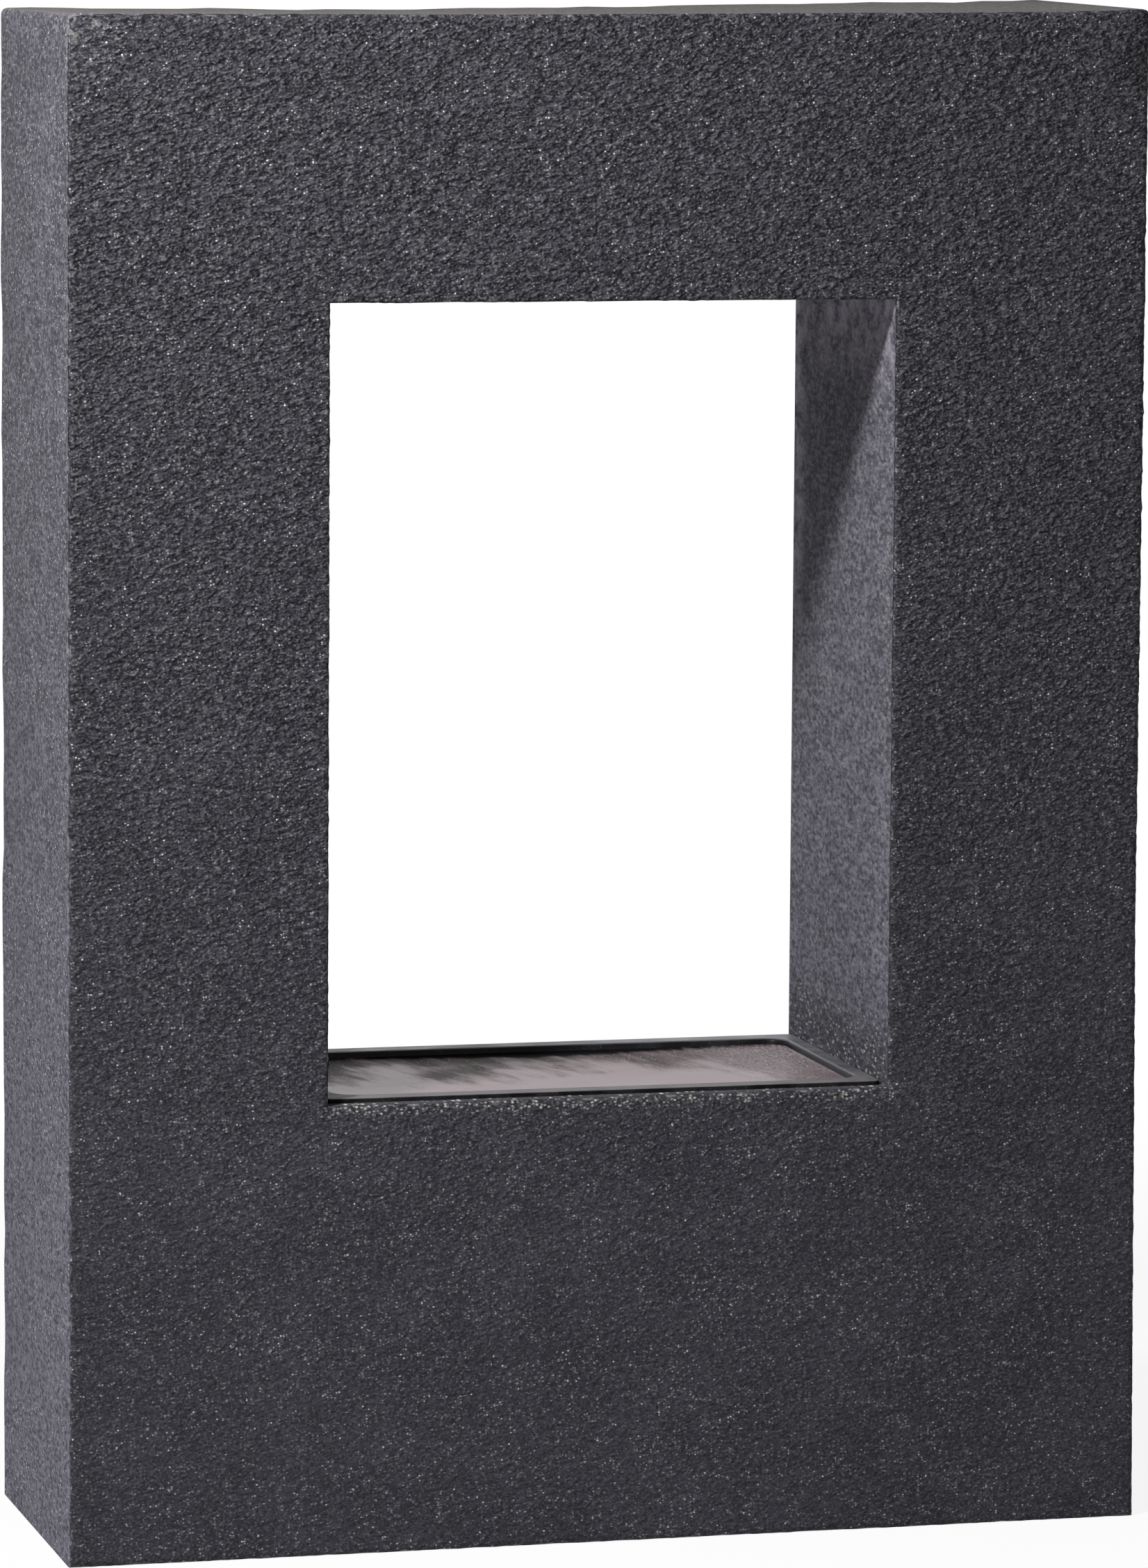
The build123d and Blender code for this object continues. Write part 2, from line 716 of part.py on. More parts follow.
def make_hose_clips():
    """Snap clips bonded to the window tunnel, their mouths towards the outer wall."""
    inside = hose_radius + clamp_clearance
    outside = inside + clip_ring_wall
    stem_length = hose_x - tunnel_side_x - inside
    stem = Pos(tunnel_side_x + stem_length / 2, pump_y) * Rectangle(stem_length, clip_stem_thickness)
    base = Rectangle(clip_base_thickness, clip_base_length)
    base = Pos(tunnel_side_x + clip_base_thickness / 2, pump_y) * base
    hose_place = Pos(hose_x, pump_y)
    mouth = hose_place * Pos(outside / 2 + inside / 2, 0) * Rectangle(outside, clip_mouth)
    shape = hose_place * Circle(outside) + stem + base - hose_place * Circle(inside) - mouth
    clips = []
    for i in range(clip_count):
        centre_z = window_centre_z + (i - (clip_count - 1) / 2) * clip_spacing
        clips.append(level(shape, centre_z - clip_width / 2, centre_z + clip_width / 2))
    return Part() + clips


def spout_box(half_x, half_y):
    """Rectangle in plan about the spout's centre."""
    return Pos(0, spout_y) * Rectangle(2 * half_x, 2 * half_y)


def make_spout_trough():
    """Folded steel trough with a fixing flange and a long neck through the lintel."""
    flange_half_long = spout_half_x + spout_flange
    flange_half_deep = spout_half_y + spout_flange
    flange = rounded_box(flange_half_long, flange_half_deep, spout_flange_corner, spout_y)
    floor_top = spout_base_z + spout_sheet
    trough = level(flange, spout_base_z, floor_top)
    trough += level(spout_box(spout_half_x, spout_half_y), spout_base_z, spout_top_z)
    trough -= level(spout_box(spout_half_x - spout_sheet, spout_half_y - spout_sheet), floor_top, spout_top_z)
    trough += level(spout_box(neck_length / 2, neck_width / 2), head_z + neck_recess, spout_base_z)
    trough -= level(spout_box(neck_length / 2 - spout_sheet, neck_slot / 2), head_z + neck_recess, floor_top)
    inlet = Pos(spout_y, inlet_z) * Circle(water_bore_radius)
    trough -= crosswise(inlet, spout_half_x - spout_sheet, spout_half_x)
    for x, y in spout_screw_places:
        hole = Pos(x, y) * Circle(spout_screw_radius + thread_clearance)
        trough -= level(hole, spout_base_z, floor_top)
    return trough


def make_spout_lid():
    """Shallow steel cap over the trough."""
    skirt_x = spout_half_x + lid_clearance
    skirt_y = spout_half_y + lid_clearance
    top = spout_top_z + spout_sheet
    lid = level(spout_box(skirt_x + spout_sheet, skirt_y + spout_sheet), spout_top_z - lid_skirt, top)
    return lid - level(spout_box(skirt_x, skirt_y), spout_top_z - lid_skirt, spout_top_z)


def make_spout_baffle():
    """Pierced channel standing in the trough, which spreads the water along the neck."""
    half_x = spout_half_x - spout_sheet - baffle_clearance
    half_y = spout_half_y - spout_sheet - baffle_clearance
    floor_top = spout_base_z + spout_sheet
    top = floor_top + baffle_height
    channel = level(spout_box(half_x, half_y), floor_top, top)
    channel -= level(spout_box(half_x, half_y - spout_sheet), floor_top, top - spout_sheet)
    holes = Pos(0, spout_y) * GridLocations(
        baffle_hole_pitch, baffle_hole_pitch, baffle_hole_columns, baffle_hole_rows
    )
    for place in holes:
        channel -= level(place * Circle(baffle_hole_radius), top - spout_sheet, top)
    return channel


def make_spout_inlet():
    """Plate and hose tail welded to the trough's end."""
    plate = turned(
        [
            (water_bore_radius, 0),
            (inlet_plate_radius, 0),
            (inlet_plate_radius, inlet_plate_thickness),
            (water_bore_radius, inlet_plate_thickness),
        ]
    )
    inlet = plate + Pos(0, 0, inlet_plate_thickness) * hose_tail()
    return Pos(spout_half_x, spout_y, inlet_z) * Rot(Y=90) * inlet


def make_spout_gasket():
    """Foam gasket under the trough's flange."""
    half_long = spout_half_x + spout_flange
    half_deep = spout_half_y + spout_flange
    outline = rounded_box(half_long, half_deep, spout_flange_corner, spout_y)
    outline -= spout_box(neck_length / 2 + neck_clearance, neck_width / 2 + neck_clearance)
    for x, y in spout_screw_places:
        outline -= Pos(x, y) * Circle(spout_screw_radius + thread_clearance)
    return level(outline, lintel_floor_z, spout_base_z)


def make_spout_screws():
    """Domed screws through the flange into the lintel."""
    seat_z = spout_base_z + spout_sheet
    screws = []
    for x, y in spout_screw_places:
        head = Pos(x, y) * Circle(spout_screw_head_radius)
        head = level(head, seat_z, seat_z + spout_screw_head_height)
        head = fillet(head.faces().sort_by(Axis.Z)[-1].edges(), spout_screw_head_height / 2)
        shank = level(Pos(x, y) * Circle(spout_screw_radius), lintel_floor_z - spout_screw_depth, seat_z)
        screws.append(head + shank)
    return Part() + screws


pieces = {
    "stone_casting": make_stone_casting(),
    "back_panel": make_back_panel(),
    "panel_inserts": make_panel_inserts(),
    "panel_screws": make_panel_screws(),
    "cable_grommet": make_cable_grommet(),
    "catch_tray": make_catch_tray(),
    "overflow_pipe": make_overflow_pipe(),
    "reservoir_tub": make_reservoir_tub(),
    "pump_motor": make_pump_motor(),
    "pump_volute": make_pump_volute(),
    "pump_cover": make_pump_cover(),
    "chamber_seal": make_chamber_seal(),
    "rotor_magnet": make_rotor_magnet(),
    "impeller": make_impeller(),
    "rotor_shaft": make_rotor_shaft(),
    "shaft_bushes": make_shaft_bushes(),
    "flow_dial": make_flow_dial(),
    "suction_feet": make_suction_feet(),
    "pump_gland": make_pump_gland(),
    "outlet_tail": make_outlet_tail(),
    "riser_hose": make_riser_hose(),
    "lower_hose_clamp": make_lower_hose_clamp(),
    "upper_hose_clamp": make_upper_hose_clamp(),
    "hose_clips": make_hose_clips(),
    "spout_trough": make_spout_trough(),
    "spout_lid": make_spout_lid(),
    "spout_baffle": make_spout_baffle(),
    "spout_inlet": make_spout_inlet(),
    "spout_gasket": make_spout_gasket(),
    "spout_screws": make_spout_screws(),
}

os.makedirs("parts", exist_ok=True)
for name, shape in pieces.items():
    export_step(shape, f"parts/{name}.step")
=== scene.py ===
from math import radians

import bmesh
import bpy
from mathutils import Matrix, Vector


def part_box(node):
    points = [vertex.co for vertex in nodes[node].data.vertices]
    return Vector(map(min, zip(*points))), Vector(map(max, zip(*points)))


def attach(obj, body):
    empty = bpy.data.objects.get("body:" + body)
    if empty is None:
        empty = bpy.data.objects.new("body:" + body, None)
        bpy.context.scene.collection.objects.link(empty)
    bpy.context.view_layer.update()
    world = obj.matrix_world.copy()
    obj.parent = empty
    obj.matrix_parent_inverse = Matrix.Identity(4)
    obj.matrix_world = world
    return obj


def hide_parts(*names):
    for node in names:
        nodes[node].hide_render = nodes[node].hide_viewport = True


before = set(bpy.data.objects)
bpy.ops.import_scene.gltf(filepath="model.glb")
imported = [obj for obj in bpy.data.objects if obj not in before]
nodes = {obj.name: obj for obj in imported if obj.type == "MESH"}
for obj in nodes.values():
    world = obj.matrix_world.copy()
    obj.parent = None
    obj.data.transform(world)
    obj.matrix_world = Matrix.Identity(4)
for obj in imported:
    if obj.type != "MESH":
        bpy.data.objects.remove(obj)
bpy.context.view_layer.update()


# Face coat of the frame: dark cement mortar full of fine marble grit, pressed into the mould
# first. It makes the front and turns every front arris, and sets as one with the body behind.
frame_low, frame_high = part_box("stone_casting")
window_half, sill_z, head_z = 0.142, 0.222, 0.612
coat_depth = 0.004
coat_back_y = frame_low[1] + coat_depth
outer_arris, front_arris, arris_steps = 0.003, 0.0014, 3
jamb_blocks, opening_blocks = 4, 9
base_rows, window_rows, lintel_rows = 7, 12, 4
block_cuts, shortest_cut = 17, 0.008
hair, window_slack = 1e-5, 0.001
foot_height, foot_give, foot_slack = 0.3, 0.0026, 0.0004
top_slack, top_swell, front_swell = 0.0015, 0.0042, 0.45
swell_start_x, swell_run = -0.06, 0.26
ease_start_x, ease_run, ease_share = 0.22, 0.05, 0.15
end_start_x, end_rise, front_rise = 0.225, 0.0025, 0.8
calm_height, rough_height = 0.05, 0.55
least_relief = 0.35
seam_gap, seam_fade = 0.0006, 0.0015
window_reach, corner_reach = 0.01, 0.016
edge_wear, window_wear, corner_wear = 0.55, 0.25, 0.8
row_tilt, swell_tilt = (0, radians(-5), 0), (0, radians(-16), 0)
wear_rows, wear_depth = (0.008, 0.008, 0.008), 0.003
wave_rows, dent_rows, relief_depth = (0.011, 0.01, 0.006), (0.005, 0.01, 0.003), 0.0006
pebble_rows, grain_rows, sand_rows = (0.004, 0.004, 0.003), (0.0034, 0.003, 0.0024), (0.0014, 0.0012, 0.0012)
swell_rows, tuft_rows, scatter_rows = (0.0039, 0.003, 0.0024), (0.0065, 0.006, 0.0045), (0.0045, 0.004, 0.003)
grit_highlight_rows, glint_rows, sill_speck_rows = (0.0018, 0.003, 0.0011), (0.0014, 0.003, 0.0012), (0.002, 0.003, 0.0014)
grain_height = 0.003
turn_start_y, turn_end_y, window_delay = -0.0893, -0.0884, 0.0012
rough_low_z, rough_high_z, rough_least = 0.15, 0.8, 0.4
falloff_start_x, falloff_full_x, falloff_most = 0.02, 0.2, 0.14
window_fade, window_edge, sill_fade, sill_edge = 0.006, 0.004, 0.004, 0.002
drip_top_z, drip_full_z, drip_most = 0.27, 0.23, 0.65
corner_start_x, corner_full_x = -0.264, -0.269
corner_start_z, corner_full_z, corner_chips = 0.72, 0.745, 0.16
chip_start_y, chip_full_y, chip_fade_y, chip_end_y = -0.0899, -0.0893, -0.088, -0.0872
mottle_rows, patch_rows = (0.03, 0.04, 0.09), (0.007, 0.013, 0.007)
mortar_sand_rows, dust_rows = (0.0022, 0.0042, 0.002), (0.0014, 0.0026, 0.0012)
shade_dark = (0.011, 0.0107, 0.0132, 1)
coat_dark = (0.034, 0.0328, 0.0405, 1)
coat_grey = (0.0425, 0.041, 0.05, 1)
painted_light_grey = (0.132, 0.13, 0.143, 1)
grit_highlight_grey = (0.265, 0.262, 0.278, 1)
sill_speck_olive = (0.42, 0.42, 0.38, 1)
grit_and_glint_white = (0.6, 0.6, 0.6, 1)
lower_pale = (0.152, 0.144, 0.19, 1)
mortar_pore = (0.044, 0.042, 0.05, 1)
mortar_dark = (0.078, 0.075, 0.089, 1)
mortar_grey = (0.122, 0.117, 0.139, 1)
mortar_pale = (0.2, 0.195, 0.215, 1)
chip_pale = (0.3, 0.297, 0.295, 1)
damp_dark = (0.036, 0.036, 0.039, 1)


def start_block(name, low, high):
    """Add a block between two corners and open it for editing."""
    bpy.ops.object.select_all(action="DESELECT")
    middle = [(a + b) / 2 for a, b in zip(low, high)]
    bpy.ops.mesh.primitive_cube_add(size=1, location=middle)
    bpy.ops.transform.resize(value=[b - a for a, b in zip(low, high)])
    bpy.ops.object.transform_apply(location=True, rotation=True, scale=True)
    block = bpy.context.object
    block.name = name
    bpy.ops.object.mode_set(mode="EDIT")
    return block


def choose(piece, kind, wanted):
    """Select the faces or edges that pass a test, and nothing else."""
    bpy.ops.mesh.select_mode(type=kind)
    bpy.ops.mesh.select_all(action="DESELECT")
    mesh = bmesh.from_edit_mesh(piece.data)
    for part in mesh.faces if kind == "FACE" else mesh.edges:
        if wanted(part):
            part.select_set(True)
    mesh.select_flush_mode()
    bmesh.update_edit_mesh(piece.data)


def cut_across(axis, place):
    """Cut what is selected square to an axis."""
    bpy.ops.mesh.bisect(
        plane_co=[place if i == axis else 0 for i in range(3)],
        plane_no=[1 if i == axis else 0 for i in range(3)],
    )


def slice_all(axis, places):
    """Cut the whole piece square to an axis at each place."""
    for place in places:
        bpy.ops.mesh.select_all(action="SELECT")
        cut_across(axis, place)


def middle_of(edge):
    """Middle of an edge."""
    return (edge.verts[0].co + edge.verts[1].co) / 2


def along(edge, axis):
    """True where an edge runs along an axis."""
    run = edge.verts[1].co - edge.verts[0].co
    return abs(run[axis]) > 0.999 * run.length


def is_sharp(edge):
    """True where two faces meet in an arris."""
    return edge.calc_face_angle(0) > 1


def cut_window(piece):
    """Open the window through a block and wall it from front to back."""
    slice_all(0, (-window_half, window_half))
    slice_all(2, (sill_z, head_z))

    def in_window(face):
        centre = face.calc_center_median()
        return abs(face.normal.y) > 0.9 and abs(centre.x) < window_half and sill_z < centre.z < head_z

    choose(piece, "FACE", in_window)
    bpy.ops.mesh.delete(type="FACE")
    choose(piece, "EDGE", lambda edge: edge.is_boundary)
    bpy.ops.mesh.bridge_edge_loops()


def on_window(point):
    """True for a point on the window's outline."""
    beside = abs(point.x) < window_half + window_slack
    return beside and sill_z - window_slack < point.z < head_z + window_slack


def close_piece(piece, name):
    """Leave edit mode with the faces outwards and the shading smooth up to an angle."""
    bpy.ops.mesh.select_all(action="SELECT")
    bpy.ops.mesh.remove_doubles(threshold=1e-6)
    bpy.ops.mesh.normals_make_consistent(inside=False)
    bpy.ops.object.mode_set(mode="OBJECT")
    bpy.ops.object.shade_smooth_by_angle(angle=radians(40))
    piece.data.name = name


def evenly(start, end, blocks):
    """Places that divide a length into equal blocks, its ends left out."""
    return [start + (end - start) * i / blocks for i in range(1, blocks)]


face_coat = start_block("face_coat", frame_low, (frame_high[0], coat_back_y, frame_high[2]))
cut_window(face_coat)
choose(
    face_coat,
    "EDGE",
    lambda edge: along(edge, 1)
    and is_sharp(edge)
    and middle_of(edge).z > frame_low[2] + hair
    and not on_window(middle_of(edge)),
)
bpy.ops.mesh.bevel(offset=outer_arris, segments=arris_steps, affect="EDGES")
choose(
    face_coat,
    "EDGE",
    lambda edge: middle_of(edge).y < frame_low[1] + hair and is_sharp(edge),
)
bpy.ops.mesh.bevel(offset=front_arris, segments=arris_steps, affect="EDGES")
mouth_half = window_half + front_arris
mouth_low, mouth_high = sill_z - front_arris, head_z + front_arris
jamb_places = evenly(mouth_half, frame_high[0] - outer_arris, jamb_blocks)
slice_all(0, [-place for place in jamb_places])
slice_all(0, jamb_places)
slice_all(0, evenly(-mouth_half, mouth_half, opening_blocks))
slice_all(2, evenly(outer_arris, mouth_low, base_rows))
slice_all(2, evenly(mouth_low, mouth_high, window_rows))
slice_all(2, evenly(mouth_high, frame_high[2] - outer_arris, lintel_rows))
choose(
    face_coat,
    "EDGE",
    lambda edge: abs(edge.verts[0].co.y - edge.verts[1].co.y) < 1e-6
    and edge.calc_length() > shortest_cut
    and middle_of(edge).y < coat_back_y - hair,
)
bpy.ops.mesh.subdivide(number_cuts=block_cuts)
close_piece(face_coat, "face_coat")

relief = face_coat.vertex_groups.new(name="relief")
wear = face_coat.vertex_groups.new(name="wear")
worn_corner = Vector((frame_low[0], frame_low[1], frame_high[2]))
for vertex in face_coat.data.vertices:
    point = vertex.co
    height = min(1, max(0, (point.z - calm_height) / (rough_height - calm_height)))
    setback = min(1, max(0, (coat_back_y - seam_gap - point.y) / seam_fade))
    relief.add([vertex.index], (least_relief + (1 - least_relief) * height) * setback, "REPLACE")
    across = vertex.normal.y
    round_share = 2 * abs(across) * max(0, 1 - across * across) ** 0.5
    near = max(0, 1 - (point - worn_corner).length / corner_reach)
    beside = abs(point.x) < window_half + window_reach
    by_window = beside and sill_z - window_reach < point.z < head_z + window_reach
    worn = round_share * (window_wear if by_window else edge_wear) + near * corner_wear
    wear.add([vertex.index], min(1, worn) * setback, "REPLACE")


def displace(piece, group, kind, rows, strength, turn, mid_level=0.5, **settings):
    """Push a piece in and out by a procedural texture laid out in rows, and keep it."""
    texture = bpy.data.textures.new(piece.name + "_" + kind.lower(), kind)
    for name, value in settings.items():
        setattr(texture, name, value)
    guide = bpy.data.objects.new(piece.name + "_rows", None)
    bpy.context.scene.collection.objects.link(guide)
    guide.rotation_euler = turn
    guide.scale = rows
    bpy.context.view_layer.update()
    push = piece.modifiers.new("push", "DISPLACE")
    push.texture = texture
    push.texture_coords = "OBJECT"
    push.texture_coords_object = guide
    push.vertex_group = group
    push.strength = strength
    push.mid_level = mid_level
    bpy.context.view_layer.objects.active = piece
    bpy.ops.object.modifier_apply(modifier="push")
    bpy.data.objects.remove(guide)


displace(face_coat, "wear", "CLOUDS", wear_rows, wear_depth, row_tilt, 0.85, noise_scale=1, noise_depth=2)
displace(face_coat, "relief", "CLOUDS", wave_rows, relief_depth, row_tilt, noise_scale=1, noise_depth=1)
displace(face_coat, "relief", "VORONOI", dent_rows, -relief_depth, row_tilt, noise_scale=1)


def lean(piece, name, direction, distance, share):
    """Shift points of a piece one way, each by its share of a distance."""
    group = piece.vertex_groups.new(name=name)
    for vertex in piece.data.vertices:
        group.add([vertex.index], min(1, max(0, share(vertex.co))), "REPLACE")
    shift = piece.modifiers.new("shift", "DISPLACE")
    shift.direction = direction
    shift.vertex_group = name
    shift.strength = distance
    shift.mid_level = 0
    bpy.context.view_layer.objects.active = piece
    bpy.ops.object.modifier_apply(modifier="shift")


def spread_foot(point):
    """Share of the mould's give at the foot of the right-hand side."""
    return (point.x > frame_high[0] - outer_arris - foot_slack) * (1 - point.z / foot_height)


def on_top(point):
    """True on the top and its arrises."""
    return point.z > frame_high[2] - outer_arris - top_slack


def toward_back(point):
    """Zero at the front, one at the back."""
    return (point.y - frame_low[1]) / (frame_high[1] - frame_low[1])


def swell_top(point):
    """Share of the swell in the struck-off top, which grows to the back and to the right."""
    across = min(1, (point.x - swell_start_x) / swell_run)
    across *= 1 - ease_share * max(0, (point.x - ease_start_x) / ease_run)
    return on_top(point) * across * (front_swell + (1 - front_swell) * toward_back(point))


def raise_end(point):
    """Share of the rise at the right-hand end of the top, a little less at the front."""
    across = (point.x - end_start_x) / (frame_high[0] - end_start_x)
    return on_top(point) * across * (front_rise + (1 - front_rise) * toward_back(point))


lean(face_coat, "foot", "X", foot_give, spread_foot)
lean(face_coat, "swell", "Z", top_swell, swell_top)
lean(face_coat, "end", "Z", end_rise, raise_end)
bpy.ops.object.shade_smooth_by_angle(angle=radians(70))


def new_material(name):
    """Empty node material with its shader joined to the output."""
    material = bpy.data.materials.new(name)
    material.use_nodes = True
    return material, material.node_tree.nodes["Principled BSDF"]


def add_node(material, kind, inputs, **settings):
    """Add a node, set it, and feed its sockets with values or with other sockets."""
    node = material.node_tree.nodes.new(kind)
    for name, value in settings.items():
        setattr(node, name, value)
    for socket, value in inputs.items():
        if isinstance(value, bpy.types.NodeSocket):
            material.node_tree.links.new(value, node.inputs[socket])
        else:
            node.inputs[socket].default_value = value
    return node


def feed(material, shader, socket, value):
    """Join a socket to one of the shader's inputs."""
    material.node_tree.links.new(value, shader.inputs[socket])


def object_place(material):
    """The point on the piece, in metres."""
    return add_node(material, "ShaderNodeTexCoord", {}).outputs["Object"]


def parts_of(material, place):
    """The three numbers of a place or direction."""
    split = add_node(material, "ShaderNodeSeparateXYZ", {"Vector": place})
    return split.outputs["X"], split.outputs["Y"], split.outputs["Z"]


def laid_out(material, place, rows, turn=(0, 0, 0)):
    """Place measured in rows of a given length, depth and height, turned on the piece."""
    return add_node(
        material,
        "ShaderNodeMapping",
        {"Vector": place, "Rotation": turn, "Scale": rows},
        vector_type="TEXTURE",
    ).outputs["Vector"]


def noise(material, place, scale, detail=2.0, roughness=0.5):
    """Soft noise between about 0.25 and 0.75."""
    return add_node(
        material,
        "ShaderNodeTexNoise",
        {"Vector": place, "Scale": scale, "Detail": detail, "Roughness": roughness},
    ).outputs["Fac"]


def rows_noise(material, place, rows, detail=2.0, roughness=0.5, turn=(0, 0, 0)):
    """Soft noise laid out in rows of a given length, depth and height."""
    return noise(material, laid_out(material, place, rows, turn), 1.0, detail, roughness)


def ramp(material, value, low, high, start=0.0, end=1.0):
    """Smooth step of a value from one end to the other."""
    return add_node(
        material,
        "ShaderNodeMapRange",
        {"Value": value, "From Min": low, "From Max": high, "To Min": start, "To Max": end},
        interpolation_type="SMOOTHSTEP",
    ).outputs["Result"]


def sums(material, operation, *values):
    """Values put together one after another by an operation."""
    total = values[0]
    for value in values[1:]:
        joined = add_node(material, "ShaderNodeMath", {0: total, 1: value}, operation=operation)
        total = joined.outputs["Value"]
    return total


def times(material, *values):
    """Values multiplied together."""
    return sums(material, "MULTIPLY", *values)


def plus(material, *values):
    """Values added up."""
    return sums(material, "ADD", *values)


def unsigned(material, value):
    """A value without its sign."""
    return add_node(material, "ShaderNodeMath", {0: value}, operation="ABSOLUTE").outputs["Value"]


def blend(material, share, a, b):
    """Two colours mixed by a share."""
    return add_node(
        material, "ShaderNodeMix", {"Factor": share, 6: a, 7: b}, data_type="RGBA"
    ).outputs[2]


def specks(material, place, rows, size, share, turn=(0, 0, 0), core=0.4):
    """Dots of varied strength in some of the cells: rows gives the cell, share how many have one."""
    cells = add_node(
        material, "ShaderNodeTexVoronoi", {"Vector": laid_out(material, place, rows, turn), "Scale": 1.0}
    )
    lucky = add_node(material, "ShaderNodeSeparateColor", {"Color": cells.outputs["Color"]}).outputs["Red"]
    dot = ramp(material, cells.outputs["Distance"], size, size * core)
    return times(material, dot, ramp(material, lucky, share, 0.0))


def pebbles(material, place, rows, turn=(0, 0, 0)):
    """Close-set rounded bumps of a given length, depth and height, none quite like the next."""
    laid = laid_out(material, place, rows, turn)
    stray = add_node(material, "ShaderNodeTexNoise", {"Vector": laid, "Scale": 1.0, "Detail": 1.0})
    bent = add_node(material, "ShaderNodeVectorMath", {0: laid, 1: stray.outputs["Color"]}, operation="ADD")
    cells = add_node(
        material,
        "ShaderNodeTexVoronoi",
        {"Vector": bent.outputs["Vector"], "Scale": 1.0, "Smoothness": 0.6},
        feature="SMOOTH_F1",
    )
    return ramp(material, cells.outputs["Distance"], 0.75, 0.0)


def bumped(material, shader, height, distance):
    """Fine relief of a given depth in metres."""
    bump = add_node(material, "ShaderNodeBump", {"Height": height, "Distance": distance, "Strength": 1.0})
    feed(material, shader, "Normal", bump.outputs["Normal"])


def bare_mortar(material, place):
    """Colour and relief of the bare mortar: sandy and mottled, with marble dust in it."""
    mottle = rows_noise(material, place, mottle_rows, 4.0, 0.6)
    patchy = rows_noise(material, place, patch_rows, 2.0)
    sand = rows_noise(material, place, mortar_sand_rows, 3.0, 0.62)
    tone = plus(material, times(material, mottle, 0.4), times(material, patchy, 0.6))
    colour = blend(material, ramp(material, tone, 0.38, 0.62), mortar_dark, mortar_grey)
    height = parts_of(material, place)[2]
    # Paler toward the bottom, in mottled patches.
    paler_low = ramp(material, plus(material, height, mottle), 1.05, 0.5, 0.0, 0.6)
    colour = blend(material, paler_low, colour, lower_pale)
    colour = blend(material, ramp(material, sand, 0.53, 0.33, 0.0, 0.85), colour, mortar_pore)
    colour = blend(material, ramp(material, sand, 0.5, 0.68, 0.0, 0.85), colour, mortar_pale)
    white = specks(material, place, dust_rows, 0.42, 0.13)
    return blend(material, white, colour, grit_and_glint_white), sand


coat_stuff, coat_shader = new_material("gritty_mortar")
place = object_place(coat_stuff)
place_x, place_y, place_z = parts_of(coat_stuff, place)
drift = noise(coat_stuff, place, 9.0)
level = plus(coat_stuff, place_z, times(coat_stuff, drift, 0.3))
rough_share = ramp(coat_stuff, level, rough_low_z, rough_high_z, rough_least, 1.0)
bumps = pebbles(coat_stuff, place, pebble_rows, row_tilt)
grain = rows_noise(coat_stuff, place, grain_rows, 3.0, 0.6, row_tilt)
grain = times(coat_stuff, plus(coat_stuff, grain, bumps), 0.5)
sand = rows_noise(coat_stuff, place, sand_rows, 1.0, turn=row_tilt)
cloudy = noise(coat_stuff, place, 26.0, 3.0)
colour = blend(coat_stuff, ramp(coat_stuff, cloudy, 0.3, 0.7), coat_dark, coat_grey)
# Painted light: paler toward the top, nearer the lamp.
colour = blend(coat_stuff, ramp(coat_stuff, level, 0.55, 0.95, 0.0, 0.08), colour, painted_light_grey)
# Painted shade: the hollows of the grain are darkened, more so higher up.
hollow_shade = times(coat_stuff, ramp(coat_stuff, grain, 0.52, 0.3, 0.0, 0.72), rough_share)
colour = blend(coat_stuff, hollow_shade, colour, shade_dark)
tufts = rows_noise(coat_stuff, place, tuft_rows, 2.0, turn=row_tilt)
swell = rows_noise(coat_stuff, place, swell_rows, 1.3, 0.55, swell_tilt)
# Painted highlight: the tops of the swelling bumps are lightened, more so higher up.
crest_highlights = times(
    coat_stuff,
    ramp(coat_stuff, swell, 0.5, 0.75),
    ramp(coat_stuff, tufts, 0.35, 0.6, 0.3, 1.0),
    ramp(coat_stuff, rough_share, rough_least, 1.0, 0.15, 0.75),
)
colour = blend(coat_stuff, crest_highlights, colour, painted_light_grey)
# Pale grit specks, partly real grit and partly painted highlight, gathered on the tops of the bumps.
scatter = rows_noise(coat_stuff, place, scatter_rows, 2.0, turn=row_tilt)
grit_highlights = times(
    coat_stuff,
    specks(coat_stuff, place, grit_highlight_rows, 0.56, 0.8, row_tilt, 0.1),
    ramp(coat_stuff, scatter, 0.42, 0.62),
    ramp(coat_stuff, swell, 0.42, 0.58, 0.3, 1.0),
    1.1,
)
colour = blend(coat_stuff, grit_highlights, colour, grit_highlight_grey)
# Painted shade in the low spots of the fine sand, and painted highlight on its high spots, higher up.
colour = blend(coat_stuff, ramp(coat_stuff, sand, 0.5, 0.3, 0.0, 0.4), colour, shade_dark)
sand_highlights = times(coat_stuff, ramp(coat_stuff, sand, 0.5, 0.75, 0.0, 0.8), rough_share)
colour = blend(coat_stuff, sand_highlights, colour, painted_light_grey)
# White marble grit with painted glints: specks on the high parts of the grain, in clusters, stronger higher
# up.
clusters = ramp(coat_stuff, noise(coat_stuff, place, 70.0), 0.35, 0.62, 0.35, 1.0)
glints = times(
    coat_stuff,
    specks(coat_stuff, place, glint_rows, 0.46, 0.2, row_tilt),
    clusters,
    ramp(coat_stuff, grain, 0.35, 0.5, 0.4, 1.0),
    ramp(coat_stuff, rough_share, rough_least, 1.0, 0.8, 1.1),
)
colour = blend(coat_stuff, glints, colour, grit_and_glint_white)
# Painted shade: darker toward the right, where the lamp's light falls off, more so higher up.
right_falloff = ramp(coat_stuff, place_x, falloff_start_x, falloff_full_x, 0.0, falloff_most)
right_falloff = times(coat_stuff, rough_share, right_falloff)
colour = blend(coat_stuff, right_falloff, colour, shade_dark)
beside_window = times(
    coat_stuff,
    ramp(coat_stuff, unsigned(coat_stuff, place_x), window_half + window_fade, window_half + window_edge),
    ramp(coat_stuff, place_z, sill_z - window_fade, sill_z - window_edge),
)
